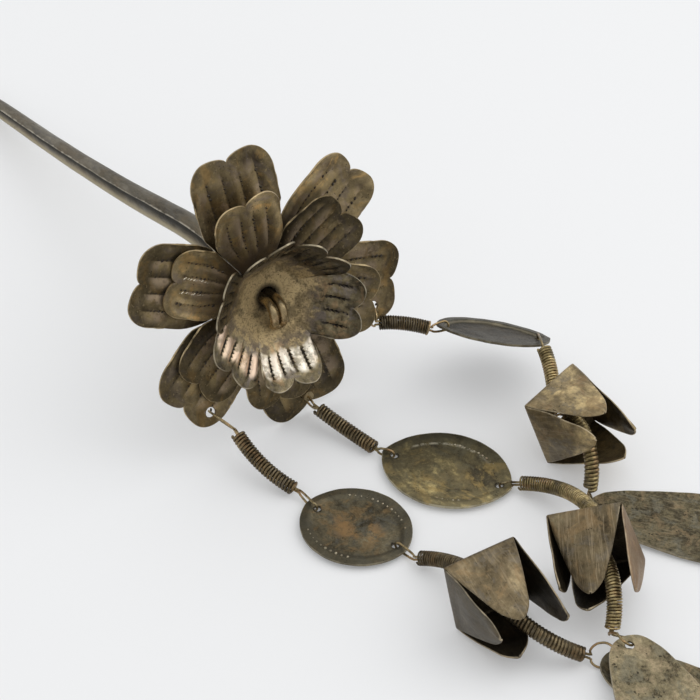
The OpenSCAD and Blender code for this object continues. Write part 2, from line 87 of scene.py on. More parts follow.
def smoothRow(rows, position):
    # Catmull-Rom between the rows of a table
    count = len(rows) - 1
    i = int(clamp(math.floor(position), 0, count - 1))
    t = position - i
    a, b, c, d = (rows[int(clamp(k, 0, count))] for k in (i - 1, i, i + 1, i + 2))
    return [0.5 * (2 * q + (r - p) * t + (2 * p - 5 * q + 4 * r - s) * t * t
                   + (3 * q - p - 3 * r + s) * t ** 3) for p, q, r, s in zip(a, b, c, d)]


def newObject(name, mesh):
    piece = bpy.data.objects.new(name, mesh)
    bpy.context.scene.collection.objects.link(piece)
    return piece


def surfacePiece(name, grids):
    # each grid holds rows of (point, place on the sheet, tone if not 1); shared edges are merged; on the
    # petals the tone is painted light and shade
    bm = bmesh.new()
    sheetLayer = bm.verts.layers.float_vector.new("sheet")
    toneLayer = bm.verts.layers.float.new("tone")
    for grid in grids:
        rows = []
        for row in grid:
            made = []
            for point, where, *tone in row:
                vertex = bm.verts.new(toFrame(point))
                vertex[sheetLayer] = where
                vertex[toneLayer] = tone[0] if tone else 1.0
                made.append(vertex)
            rows.append(made)
        for lower, upper in zip(rows, rows[1:]):
            for j in range(len(lower) - 1):
                bm.faces.new((lower[j], lower[j + 1], upper[j + 1], upper[j]))
    bmesh.ops.remove_doubles(bm, verts=bm.verts, dist=mergeDistance)
    bmesh.ops.dissolve_degenerate(bm, edges=bm.edges, dist=mergeDistance)
    bmesh.ops.recalc_face_normals(bm, faces=bm.faces)
    mesh = bpy.data.meshes.new(name)
    bm.to_mesh(mesh)
    bm.free()
    return newObject(name, mesh)


def pathPiece(name, paths, closed=False, faces=None):
    # polylines for a Geometry Nodes tree; faces gives the surface's normal at each point
    points, edges, normals = [], [], []
    for number, path in enumerate(paths):
        first = len(points)
        points += [toFrame(p) for p in path]
        edges += [(first + i, first + i + 1) for i in range(len(path) - 1)]
        if closed:
            edges.append((first + len(path) - 1, first))
        if faces:
            normals += faces[number]
    mesh = bpy.data.meshes.new(name)
    mesh.from_pydata(points, edges, [])
    if faces:
        attribute = mesh.attributes.new("face", "FLOAT_VECTOR", "POINT")
        attribute.data.foreach_set("vector", [value for normal in normals for value in normal])
    return newObject(name, mesh)


def thicken(piece, thickness=sheetThickness):
    wall = piece.modifiers.new("wall", "SOLIDIFY")
    wall.thickness = thickness * mm
    wall.offset = 0
    wall.use_quality_normals = True


def drill(piece, holes, radius, sides=24, depth=4):
    # holes: centre and direction; the drill is removed again in finishPiece
    bm = bmesh.new()
    for centre, direction in holes:
        turn = direction.to_track_quat("Z", "Y").to_matrix().to_4x4()
        bmesh.ops.create_cone(bm, cap_ends=True, segments=sides, radius1=radius * mm, radius2=radius * mm,
                              depth=depth * mm, matrix=Matrix.Translation(toFrame(centre)) @ turn)
    mesh = bpy.data.meshes.new("drill")
    bm.to_mesh(mesh)
    bm.free()
    tool = newObject("drill", mesh)
    cut = piece.modifiers.new("holes", "BOOLEAN")
    cut.operation = "DIFFERENCE"
    cut.object = tool
    return tool


def finishPiece(piece, nodes, metal, crease=38, tools=()):
    bpy.context.view_layer.update()
    depsgraph = bpy.context.evaluated_depsgraph_get()
    mesh = bpy.data.meshes.new_from_object(
        piece.evaluated_get(depsgraph), preserve_all_data_layers=True, depsgraph=depsgraph)
    piece.modifiers.clear()
    piece.data = mesh
    for tool in tools:
        bpy.data.objects.remove(tool)
    mesh.materials.clear()
    mesh.materials.append(metal)
    mesh.shade_smooth()
    mesh.set_sharp_from_angle(angle=math.radians(crease))
    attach(piece, "root")
    if nodes:
        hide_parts(*nodes)


# Shared shader groups

def newGroup(name, inputs, outputs, kind="ShaderNodeTree"):
    # inputs: name, kind of socket, first value; outputs: name, kind of socket
    group = bpy.data.node_groups.new(name, kind)
    for label, socketKind, value in inputs:
        socket = group.interface.new_socket(label, in_out="INPUT", socket_type="NodeSocket" + socketKind)
        if value is not None:
            socket.default_value = value
    for label, socketKind in outputs:
        group.interface.new_socket(label, in_out="OUTPUT", socket_type="NodeSocket" + socketKind)
    return group, group.nodes.new("NodeGroupInput"), group.nodes.new("NodeGroupOutput")


def addNode(tree, kind, values=None, **settings):
    node = tree.nodes.new(kind)
    for key, value in settings.items():
        setattr(node, key, value)
    for key, value in (values or {}).items():
        if isinstance(value, bpy.types.NodeSocket):
            tree.links.new(value, node.inputs[key])
        else:
            node.inputs[key].default_value = value
    return node


def math1(tree, operation, a, b=0.0, clampIt=False):
    return addNode(tree, "ShaderNodeMath", {0: a, 1: b}, operation=operation, use_clamp=clampIt).outputs[0]


def times(tree, first, *others):
    for other in others:
        first = math1(tree, "MULTIPLY", first, other)
    return first


def plus(tree, a, b):
    return math1(tree, "ADD", a, b)


def minus(tree, a, b, clampIt=False):
    return math1(tree, "SUBTRACT", a, b, clampIt)


def vector1(tree, operation, a, b=None, scale=None):
    values = {0: a}
    if b is not None:
        values[1] = b
    if scale is not None:
        values["Scale"] = scale
    return addNode(tree, "ShaderNodeVectorMath", values, operation=operation).outputs[0]


def scaled(tree, vector, scale):
    return vector1(tree, "SCALE", vector, scale=scale)


def remap(tree, value, low, high, toLow=0.0, toHigh=1.0):
    return addNode(tree, "ShaderNodeMapRange", {0: value, 1: low, 2: high, 3: toLow, 4: toHigh},
                   interpolation_type="SMOOTHSTEP").outputs[0]


def blendColor(tree, share, a, b):
    return addNode(tree, "ShaderNodeMix", {0: share, 6: a, 7: b}, data_type="RGBA").outputs[2]


def noiseValue(tree, vector, scale, detail=4.0, roughness=0.6, distortion=0.0):
    return addNode(tree, "ShaderNodeTexNoise", {
        "Vector": vector, "Scale": scale, "Detail": detail, "Roughness": roughness,
        "Distortion": distortion}).outputs[0]


def attributeOf(tree, name, output="Fac"):
    return addNode(tree, "ShaderNodeAttribute", attribute_name=name).outputs[output]


def buildTarnishGroup():
    # clouds of dark, middle and light metal with warmer and cooler stains; fine, hue and speck are finer
    # than the clouds by these factors
    sizes = dict(fine=5.3, hue=2.3, speck=12.0, low=0.42, middle=0.50, high=0.61, stain=0.65)
    group, source, result = newGroup("tarnish", [
        ("Vector", "Vector", None), ("Scale", "Float", 100.0), ("Dark", "Color", None),
        ("Middle", "Color", None), ("Light", "Color", None), ("Warm", "Color", None),
        ("Cool", "Color", None), ("Balance", "Float", 0.0), ("Mottle", "Float", 2.0),
        ("Soft", "Float", 0.0), ("Fine", "Float", 0.4)],
        [("Color", "Color"), ("Cloud", "Float")])
    values = source.outputs
    vector, scale = values["Vector"], values["Scale"]
    broad = noiseValue(group, vector, scale, 6.0, 0.66, 0.5)
    fine = noiseValue(group, vector, times(group, scale, sizes["fine"]), 6.0, 0.72, 0.3)
    share = minus(group, 1.0, values["Fine"])
    cloud = plus(group, times(group, broad, share), times(group, fine, values["Fine"]))
    cloud = plus(group, cloud, values["Balance"])
    low, high = minus(group, sizes["low"], values["Soft"]), plus(group, sizes["high"], values["Soft"])
    color = blendColor(group, remap(group, cloud, low, sizes["middle"]), values["Dark"], values["Middle"])
    color = blendColor(group, remap(group, cloud, sizes["middle"], high), color, values["Light"])
    hue = noiseValue(group, vector, times(group, scale, sizes["hue"]), 5.0, 0.68, 0.8)
    color = blendColor(group, remap(group, hue, 0.52, 0.62, 0.0, sizes["stain"]), color, values["Warm"])
    color = blendColor(group, remap(group, hue, 0.48, 0.38, 0.0, sizes["stain"]), color, values["Cool"])
    speck = noiseValue(group, vector, times(group, scale, sizes["speck"]), 3.0, 0.7)
    gain = plus(group, 1.0, times(group, minus(group, speck, 0.5), values["Mottle"]))
    group.links.new(scaled(group, color, gain), result.inputs["Color"])
    group.links.new(cloud, result.inputs["Cloud"])
    return group


def buildPitGroup():
    sizes = dict(patch=0.23, patchLow=0.45, patchHigh=0.7)  # pits come in patches
    group, source, result = newGroup("pits", [
        ("Vector", "Vector", None), ("Scale", "Float", 900.0), ("Amount", "Float", 0.5)],
        [("Mask", "Float"), ("Depth", "Float")])
    vector, scale, amount = (source.outputs[key] for key in ("Vector", "Scale", "Amount"))
    cells = addNode(group, "ShaderNodeTexVoronoi", {"Vector": vector, "Scale": scale}).outputs["Distance"]
    gate = remap(group, noiseValue(group, vector, times(group, scale, sizes["patch"]), 3.0),
                 sizes["patchLow"], sizes["patchHigh"])
    mask = minus(group, times(group, gate, amount), cells)
    group.links.new(remap(group, mask, -0.05, 0.12), result.inputs["Mask"])
    group.links.new(remap(group, mask, -0.1, 0.3), result.inputs["Depth"])
    return group


def buildEdgeGroup():
    # bright metal along an edge, rubbed through unevenly; Distance and Width are in millimetres
    group, source, result = newGroup("edgeWear", [
        ("Vector", "Vector", None), ("Distance", "Float", 1.0), ("Width", "Float", 0.35),
        ("Worn", "Float", 0.8)], [("Mask", "Float")])
    rub = remap(group, noiseValue(group, source.outputs["Vector"], 420.0, 4.0), 0.38, 0.6, 0.35, 1.0)
    reach = times(group, source.outputs["Width"], rub)
    near = minus(group, 1.0, math1(group, "DIVIDE", source.outputs["Distance"], reach), True)
    mask = math1(group, "MULTIPLY", times(group, near, rub), source.outputs["Worn"], True)
    group.links.new(mask, result.inputs["Mask"])
    return group


tarnishGroup = buildTarnishGroup()
pitGroup = buildPitGroup()
edgeGroup = buildEdgeGroup()


def useGroup(tree, group, values):
    return addNode(tree, "ShaderNodeGroup", values, node_tree=group)


def rgb(*values):
    return (*values, 1.0)


def agedMetal(name, look, extra=None):
    # flecks are sparks of the light colour; matt: how much rougher a matt place is
    sizes = dict(pitShare=0.75, fleck=1600.0, fleckLow=0.63, fleckHigh=0.70, fleckGain=1.5, matt=0.25)
    metal = bpy.data.materials.new(name)
    metal.use_nodes = True
    tree = metal.node_tree
    shader = tree.nodes["Principled BSDF"]
    where = addNode(tree, "ShaderNodeTexCoord").outputs["Object"]
    moved = addNode(tree, "ShaderNodeMapping", {"Vector": where, "Location": look.get("offset", (0, 0, 0)),
                                                "Scale": look.get("stretch", (1, 1, 1))}).outputs[0]
    # the "sheet" attribute holds the place across and along the sheet, and the distance to its edge
    onSheet = attributeOf(tree, "sheet", "Vector")
    across, along, edge = addNode(tree, "ShaderNodeSeparateXYZ", {0: onSheet}).outputs
    clouds = useGroup(tree, tarnishGroup, {
        "Vector": moved, "Scale": look["cloud"], "Dark": rgb(*look["dark"]), "Middle": rgb(*look["middle"]),
        "Light": rgb(*look["light"]), "Warm": rgb(*look["warm"]), "Cool": rgb(*look["cool"]),
        "Balance": look.get("balance", 0.0), "Mottle": look.get("mottle", 2.2),
        "Soft": look.get("soft", 0.0), "Fine": look.get("fine", 0.4)}).outputs
    pits = useGroup(tree, pitGroup, {
        "Vector": where, "Scale": look["pitScale"], "Amount": look["pits"]}).outputs
    state = {"tree": tree, "color": clouds["Color"], "cloud": clouds["Cloud"], "where": where,
             "across": across, "along": along, "edge": edge, "height": None, "matt": None}
    if extra:
        extra(state, look)
    pitted = times(tree, pits["Mask"], sizes["pitShare"])
    color = blendColor(tree, pitted, state["color"], rgb(*look["pitColor"]))
    if look.get("fleck"):
        fleck = remap(tree, noiseValue(tree, where, sizes["fleck"], 2.0, 0.6), sizes["fleckLow"],
                      sizes["fleckHigh"], 0.0, look["fleck"])
        spark = (min(value * sizes["fleckGain"], 1.0) for value in look["light"])
        color = blendColor(tree, fleck, color, rgb(*spark))
    if look.get("edgeWidth"):
        rim = useGroup(tree, edgeGroup, {"Vector": where, "Distance": edge,
                                         "Width": look["edgeWidth"], "Worn": look["edgeWorn"]})
        color = blendColor(tree, rim.outputs["Mask"], color, rgb(*look["edge"]))
    grain = noiseValue(tree, moved, look["grain"], 8.0, 0.75)
    rough = remap(tree, plus(tree, times(tree, grain, 0.5), times(tree, clouds["Cloud"], 0.5)),
                  0.35, 0.65, look["roughHigh"], look["roughLow"])
    if state["matt"] is not None:
        rough = math1(tree, "ADD", rough, times(tree, state["matt"], sizes["matt"]), True)
    height = minus(tree, times(tree, grain, look["grainDepth"]), times(tree, pits["Depth"], look["pitDepth"]))
    if state["height"] is not None:
        height = plus(tree, height, state["height"])
    bump = addNode(tree, "ShaderNodeBump", {"Height": height, "Strength": 1.0, "Distance": mm})
    tree.links.new(color, shader.inputs["Base Color"])
    tree.links.new(rough, shader.inputs["Roughness"])
    tree.links.new(bump.outputs[0], shader.inputs["Normal"])
    shader.inputs["Metallic"].default_value = look.get("metallic", 0.9)
    return metal


# scale, detail, roughness and distortion of the noise behind each mark of a petal
petalGrit = {
    "broken": (460.0, 3.0, 0.6), "rubbedAndLit": (260.0, 6.0, 0.7), "gloom": (520.0, 6.0, 0.75),
    "broad": (55.0, 3.0, 0.55, 0.6), "blush": (150.0, 4.0, 0.6), "speck": (2300.0, 3.0, 0.7),
    "hub": (300.0, 5.0, 0.7), "ring": (420.0, 5.0, 0.7),
}


def petalExtra(state, look):
    # dark teeth between the flutes of the cup, flutes rubbed bright with a painted highlight where the light
    # falls, each petal painted lighter or darker, painted shade in the valleys, towards the middle, on darker
    # petals and round the hole, and a matt hub
    tree, where, across, along = (state[key] for key in ("tree", "where", "across", "along"))
    grit = {mark: noiseValue(tree, where, *values) for mark, values in petalGrit.items()}
    tone = attributeOf(tree, "tone")
    dark = rgb(*look["pitColor"])
    start, stop = look["fluteStart"], look["fluteStop"]
    wave = math1(tree, "ABSOLUTE", math1(tree, "COSINE", times(tree, across, flutesPerSide * math.pi)))
    fluted = times(tree, remap(tree, along, start, start + 0.12), remap(tree, along, stop + 0.12, stop))
    phase = math1(tree, "FRACT", plus(tree, times(tree, along, look["teeth"]),
                                      times(tree, across, look["toothSlant"])))
    reach = times(tree, phase, look["toothWide"], remap(tree, grit["broken"], 0.40, 0.48))
    tooth = times(tree, remap(tree, minus(tree, reach, wave), -0.03, 0.06), fluted)
    # painted shade: the valleys between the flutes are darkened
    valleyShadeMask = times(tree, remap(tree, wave, 0.55, 0.05), fluted)
    # petals with a higher tone face the light and get a stronger painted highlight on their flutes
    facing = plus(tree, times(tree, remap(tree, tone, 1.15, 1.3), look["crestBright"]), look["crestBase"])
    blush = remap(tree, grit["blush"], 0.45, 0.56)
    # the painted highlight lies on one side of each flute on the flat petals, where light falls on the
    # relief, and on the flute tops in the cup
    if look["oneSided"]:
        lane = math1(tree, "FRACT", plus(tree, times(tree, across, flutesPerSide), 0.5))
        band = times(tree, remap(tree, lane, 0.02, 0.10), remap(tree, lane, 0.9, 0.15),
                     remap(tree, across, -0.66, -0.6))
    else:
        band = remap(tree, minus(tree, wave, times(tree, phase, 0.3)), 0.22, 0.38)
        blush = math1(tree, "MAXIMUM", times(tree, blush, 0.3), remap(tree, tone, 1.32, 1.27))
    # rubbed bright metal on the crests together with a painted highlight, broken up by noise
    rubbedAndLit = times(tree, remap(tree, grit["rubbedAndLit"], 0.38, 0.52, 0.25, 1.0), facing)
    crestWearAndHighlight = times(tree, band, fluted, rubbedAndLit)
    # painted shade in patches on the fluted part of the petals whose tone is low
    gloom = times(tree, remap(tree, tone, 1.0, 0.85), fluted,
                  times(tree, remap(tree, grit["gloom"], 0.53, 0.44), look["gloom"]))
    uneven = remap(tree, grit["broad"], 0.36, 0.62, 1 - look["uneven"], 1 + look["uneven"])
    color = blendColor(tree, times(tree, valleyShadeMask, look["valleyShade"]), state["color"], dark)
    color = scaled(tree, color, uneven)
    # painted shade: the petals darken towards the middle of the flower, between the layers
    color = blendColor(tree, remap(tree, along, 0.66, 0.1, 0.0, look["centreShade"]), color, dark)
    color = scaled(tree, color, remap(tree, along, 0.76, 0.92, 1.0, look["tip"]))
    color = blendColor(tree, gloom, color, dark)
    # painted light and shade: each petal is made brighter or darker by its tone
    color = scaled(tree, color, tone)
    color = blendColor(tree, crestWearAndHighlight, color, blendColor(tree, blush, rgb(*look["crestWearAndHighlight"]), rgb(*look["blush"])))
    color = blendColor(tree, times(tree, tooth, look["toothDark"]), color, dark)
    ragged = plus(tree, along, times(tree, minus(tree, grit["hub"], 0.5), 0.7))
    hub = times(tree, remap(tree, ragged, start + 0.06, start - 0.12), look["hubShare"])
    ringed = times(tree, remap(tree, along, start - 0.3, start - 0.05),
                   remap(tree, grit["ring"], 0.43, 0.55, 0.0, 0.85))
    hubColor = blendColor(tree, remap(tree, state["cloud"], 0.42, 0.52), rgb(*look["hubDark"]),
                          rgb(*look["hub"]))
    hubColor = blendColor(tree, remap(tree, grit["speck"], 0.52, 0.34, 0.0, 0.55), hubColor, dark)
    hubColor = blendColor(tree, ringed, hubColor, rgb(*look["hubRing"]))
    # painted shade: the hub darkens towards the hole
    hubColor = blendColor(tree, remap(tree, along, -0.62, -1.0, 0.0, 0.9), hubColor, dark)
    state["color"] = blendColor(tree, hub, color, hubColor)
    state["height"] = minus(tree, times(tree, grit["speck"], hub, 0.08), times(tree, tooth, 0.15))
    state["matt"] = hub


def plateExtra(state, look):
    # a rusty patch in the middle, a duller rim, and a rubbed line inside it; on plate 2 the line is bruises
    # on the ridge together with a painted highlight
    # rust and dull: millimetres from the edge where they begin and are full; line, bruisedLine:
    # millimetres from the edge, and sharpness
    sizes = dict(wander=200.0, reach=6.0, rust=(8.6, 12.5), blot=210.0, dull=(4.2, 3.0), line=(2.3, 3.0),
                 bruisedLine=(3.1, 1.8), bruise=600.0)
    tree, where, edge = state["tree"], state["where"], state["edge"]
    wander = times(tree, noiseValue(tree, where, sizes["wander"], 5.0), sizes["reach"])
    middle = remap(tree, plus(tree, edge, wander), *sizes["rust"])
    blot = remap(tree, noiseValue(tree, where, sizes["blot"], 8.0, 0.75), 0.42, 0.56)
    rusty = times(tree, middle, blot, look["patchShare"])
    color = blendColor(tree, rusty, state["color"], rgb(*look["patch"]))
    dull = remap(tree, plus(tree, edge, times(tree, wander, 0.25)), *sizes["dull"])
    color = blendColor(tree, times(tree, dull, look["dullShare"]), color, rgb(*look["dull"]))
    lineAt, lineSharp = sizes["bruisedLine" if look.get("bruised") else "line"]
    off = math1(tree, "ABSOLUTE", minus(tree, edge, lineAt))
    line = minus(tree, 1.0, times(tree, off, lineSharp), True)
    # bruises and a painted highlight: the line is broken up by noise and kept to the side of the ridge
    if look.get("bruised"):
        bruise = remap(tree, noiseValue(tree, where, sizes["bruise"], 5.0, 0.7), 0.42, 0.58)
        line = times(tree, line, bruise, times(tree, remap(tree, state["across"], 0.25, 0.5),
                                               remap(tree, state["along"], 0.65, 0.3)))
    color = scaled(tree, color, attributeOf(tree, "tone"))
    state["color"] = blendColor(tree, times(tree, line, look["lineShare"]), color, rgb(*look["edge"]))


def scratchExtra(state, look):
    # long fine scratches that run along the piece
    tree = state["tree"]
    flat = addNode(tree, "ShaderNodeCombineXYZ", {0: times(tree, state["across"], look["scratchAcross"]),
                                                  1: times(tree, state["along"], look["scratchAlong"])})
    lines = noiseValue(tree, flat.outputs[0], 1.0, 6.0, 0.72, look.get("scratchBend", 0.3))
    mask = times(tree, remap(tree, lines, 0.5, 0.62), look["scratchShare"])
    state["color"] = blendColor(tree, mask, state["color"], rgb(*look["scratch"]))
    state["height"] = times(tree, lines, look["scratchDepth"])


def shaftExtra(state, look):
    # scratches, painted shade in the groove beside the lap seam, and a lighter, warmer colour on the side
    # below it
    scratchExtra(state, look)
    tree = state["tree"]
    past = minus(tree, state["across"], shaftSizes["seam"] / 180)
    # painted shade: darker just past the seam, where the inner edge dives under the lap
    seamShade = times(tree, remap(tree, past, 0.22, 0.08), remap(tree, past, -0.04, -0.02))
    lower = times(tree, remap(tree, past, 0.18, 0.32), remap(tree, past, 1.0, 0.8))
    color = blendColor(tree, times(tree, lower, 0.75), state["color"], rgb(*look["lower"]))
    state["color"] = blendColor(tree, times(tree, seamShade, 0.93), color, rgb(*look["pitColor"]))


def bellExtra(state, look):
    # scratches, grey on dull petals, copper on bright ones, and painted shade on the inside
    scratchExtra(state, look)
    tree = state["tree"]
    tone, inside = attributeOf(tree, "tone"), attributeOf(tree, "inside")
    dull, bright = remap(tree, tone, 0.9, 0.8, 0.0, 0.6), remap(tree, tone, 1.16, 1.2, 0.0, 0.45)
    color = blendColor(tree, dull, state["color"], rgb(*look["grey"]))
    color = blendColor(tree, bright, color, rgb(*look["copper"]))
    color = scaled(tree, color, tone)
    # painted shade: the faces marked inside are darkened
    state["color"] = blendColor(tree, times(tree, inside, look["gloom"]), color, rgb(*look["pitColor"]))


black = (0.012, 0.010, 0.008)  # the darkest tarnish
# seam and overlap in degrees round the shaft; blend: degrees in which the inner edge comes out again
shaftSizes = dict(sheet=0.6, seam=50, overlap=45, rows=150, steps=44, thin=0.16, gap=0.1, blend=80)
# dark, middle and light: colours of the clouds; warm and cool: of the stains on them; cloud, pitScale
# and grain: scales of their noise; roughLow and roughHigh: on the light and on the dark clouds
looks = {
    "petals": dict(
        dark=(0.070, 0.052, 0.031), middle=(0.15, 0.115, 0.06), light=(0.3, 0.23, 0.126),
        warm=(0.27, 0.175, 0.068), cool=(0.125, 0.1, 0.078), cloud=75.0, mottle=1.1, soft=0.06, fine=0.3,
        uneven=0.45, centreShade=0.9, tip=0.8, oneSided=True, pits=0.3, pitScale=1700.0,
        pitColor=(0.022, 0.016, 0.011), pitDepth=0.03, edge=(0.5, 0.39, 0.22), edgeWidth=0.2, edgeWorn=0.8,
        grain=2600.0, grainDepth=0.06, roughLow=0.36, roughHigh=0.6, fluteStart=0.2, fluteStop=0.8,
        valleyShade=0.25, crestBase=0.6, crestBright=0.3, crestWearAndHighlight=(0.43, 0.33, 0.225), blush=(0.33, 0.25, 0.125),
        gloom=0.0, fleck=0.35, hubShare=0.0, hub=(0.3, 0.22, 0.12), hubDark=(0.1, 0.075, 0.05), hubRing=black,
        teeth=24.0, toothSlant=3.0, toothWide=0.0, toothDark=0.0),
    "cup": dict(
        dark=(0.055, 0.044, 0.026), middle=(0.15, 0.122, 0.07), light=(0.30, 0.25, 0.155),
        warm=(0.26, 0.17, 0.09), cool=(0.16, 0.135, 0.12), cloud=120.0, mottle=1.3, soft=0.03,
        uneven=0.12, centreShade=0.0, tip=0.6, oneSided=False, pits=0.25, pitScale=1500.0,
        pitColor=black, pitDepth=0.04, edge=(0.5, 0.43, 0.3), edgeWidth=0.14, edgeWorn=0.65,
        grain=2600.0, grainDepth=0.06, roughLow=0.26, roughHigh=0.5, fluteStart=0.4, fluteStop=0.74,
        valleyShade=0.4, crestBase=0.0, crestBright=1.0, crestWearAndHighlight=(1.0, 0.93, 0.79), blush=(0.9, 0.68, 0.51),
        gloom=0.75, hubShare=0.95, hub=(0.52, 0.40, 0.215), hubDark=(0.26, 0.2, 0.11),
        hubRing=(0.13, 0.105, 0.088), teeth=15.0, toothSlant=2.4, toothWide=0.55, toothDark=0.95),
    "shaft": dict(
        dark=(0.07, 0.058, 0.04), middle=(0.122, 0.105, 0.075), light=(0.19, 0.168, 0.128),
        warm=(0.135, 0.105, 0.066), cool=(0.115, 0.11, 0.1), cloud=60.0, stretch=(0.25, 1, 1), mottle=1.2,
        pits=0.3, pitScale=1700.0, pitColor=(0.03, 0.027, 0.022), pitDepth=0.02,
        edge=(0.58, 0.53, 0.43), edgeWidth=0.42, edgeWorn=0.95, grain=2000.0, grainDepth=0.04,
        roughLow=0.36, roughHigh=0.56, scratchAcross=60.0, scratchAlong=1.5, scratchShare=0.25,
        scratch=(0.25, 0.225, 0.18), scratchDepth=0.02, lower=(0.41, 0.345, 0.215)),
    "wire": dict(
        dark=(0.075, 0.056, 0.03), middle=(0.15, 0.113, 0.06), light=(0.32, 0.245, 0.135),
        warm=(0.25, 0.155, 0.08), cool=(0.13, 0.108, 0.075), cloud=90.0, mottle=1.5, pits=0.2,
        pitScale=1900.0, pitColor=(0.02, 0.016, 0.01), pitDepth=0.02, grain=3000.0, grainDepth=0.03,
        roughLow=0.3, roughHigh=0.5),
    "link": dict(
        dark=(0.10, 0.072, 0.036), middle=(0.24, 0.18, 0.09), light=(0.45, 0.34, 0.18),
        warm=(0.4, 0.24, 0.12), cool=(0.2, 0.17, 0.1), cloud=150.0, pits=0.25,
        pitScale=1900.0, pitColor=(0.05, 0.04, 0.02), pitDepth=0.02, grain=3000.0, grainDepth=0.02,
        roughLow=0.28, roughHigh=0.46),
    "loop": dict(
        dark=(0.11, 0.08, 0.042), middle=(0.29, 0.215, 0.115), light=(0.70, 0.54, 0.32),
        warm=(0.5, 0.35, 0.2), cool=(0.3, 0.24, 0.14), cloud=90.0, mottle=0.6, soft=0.08, pits=0.15,
        pitScale=1900.0, pitColor=black, pitDepth=0.02, grain=3000.0, grainDepth=0.03,
        roughLow=0.2, roughHigh=0.36),
    "plate": dict(
        dark=(0.05, 0.042, 0.027), middle=(0.12, 0.102, 0.064), light=(0.23, 0.195, 0.12),
        warm=(0.2, 0.135, 0.065), cool=(0.11, 0.105, 0.085), cloud=100.0, mottle=1.4, soft=0.04, fine=0.3,
        pits=0.3, pitScale=1500.0, pitColor=black, pitDepth=0.04,
        edge=(0.3, 0.26, 0.18), edgeWidth=0.22, edgeWorn=0.7, grain=2400.0, grainDepth=0.06,
        roughLow=0.38, roughHigh=0.62, patch=(0.32, 0.195, 0.085), patchShare=0.8,
        dull=(0.085, 0.076, 0.052), dullShare=0.6, lineShare=0.0),
    "bell": dict(
        dark=(0.05, 0.038, 0.022), middle=(0.15, 0.115, 0.065), light=(0.34, 0.265, 0.15),
        warm=(0.25, 0.17, 0.085), cool=(0.145, 0.125, 0.095), cloud=62.0, mottle=1.1, soft=0.05, fine=0.28,
        grey=(0.135, 0.125, 0.104), copper=(0.3, 0.19, 0.125), gloom=0.72, pits=0.25, pitScale=1500.0,
        pitColor=black, pitDepth=0.04, edge=(0.42, 0.35, 0.24), edgeWidth=0.22, edgeWorn=0.8,
        grain=2000.0, grainDepth=0.07, roughLow=0.36, roughHigh=0.6, scratchAcross=9.0,
        scratchAlong=2.0, scratchBend=0.9, scratchShare=0.3, scratch=(0.38, 0.3, 0.19), scratchDepth=0.12),
    "leaf": dict(
        dark=(0.055, 0.045, 0.027), middle=(0.13, 0.108, 0.062), light=(0.26, 0.22, 0.14),
        warm=(0.22, 0.16, 0.09), cool=(0.15, 0.14, 0.105), cloud=110.0, mottle=1.6, soft=0.03, pits=0.4,
        pitScale=1300.0, pitColor=(0.02, 0.017, 0.012), pitDepth=0.06, edge=(0.36, 0.31, 0.22),
        edgeWidth=0.25, edgeWorn=0.8, grain=2000.0, grainDepth=0.08, roughLow=0.4, roughHigh=0.62,
        scratchAcross=26.0, scratchAlong=14.0, scratchShare=0.4, scratch=(0.27, 0.225, 0.145),
        scratchDepth=0.08),
}


def variant(name, base, extra=None, **changes):
    return agedMetal(name, dict(looks[base], **changes), extra)


petalMetal = variant("petalMetal", "petals", petalExtra)
cupMetal = variant("cupMetal", "cup", petalExtra)
shaftMetal = variant("shaftMetal", "shaft", shaftExtra)
coilMetals = {
    "dark": variant("coilMetalDark", "wire", balance=-0.02),
    "deep": variant("coilMetalDeep", "wire", dark=(0.05, 0.038, 0.021), middle=(0.096, 0.073, 0.041),
                    light=(0.19, 0.147, 0.083), warm=(0.17, 0.11, 0.055)),
    "brassy": variant("coilMetalBrassy", "wire", balance=0.04, middle=(0.2, 0.155, 0.072),
                      light=(0.42, 0.33, 0.165)),
}
linkMetal = variant("linkMetal", "link")
loopMetal = variant("loopMetal", "loop")
plateMetals = {
    1: variant("plateMetalDark", "plate", plateExtra, offset=(0.11, 0, 0)),
    2: variant("plateMetalBrassy", "plate", plateExtra, offset=(0.3, 0.1, 0), balance=-0.02,
               middle=(0.12, 0.099, 0.052), light=(0.42, 0.335, 0.15), warm=(0.25, 0.18, 0.07),
               cool=(0.105, 0.095, 0.06), cloud=62.0, soft=0.035, fine=0.4, patch=(0.3, 0.22, 0.1),
               patchShare=0.15, dull=(0.085, 0.074, 0.043), dullShare=0.3, bruised=True, lineShare=0.6,
               edge=(0.5, 0.46, 0.35)),
    3: variant("plateMetalGrey", "plate", plateExtra, dark=(0.034, 0.03, 0.022), middle=(0.057, 0.048, 0.033),
               light=(0.094, 0.08, 0.054), warm=(0.08, 0.064, 0.04), cool=(0.06, 0.055, 0.043),
               patchShare=0.0, lineShare=0.5),
}
beadMetal = variant("beadMetal", "wire", balance=0.06, middle=(0.25, 0.22, 0.15), light=(0.5, 0.44, 0.32))
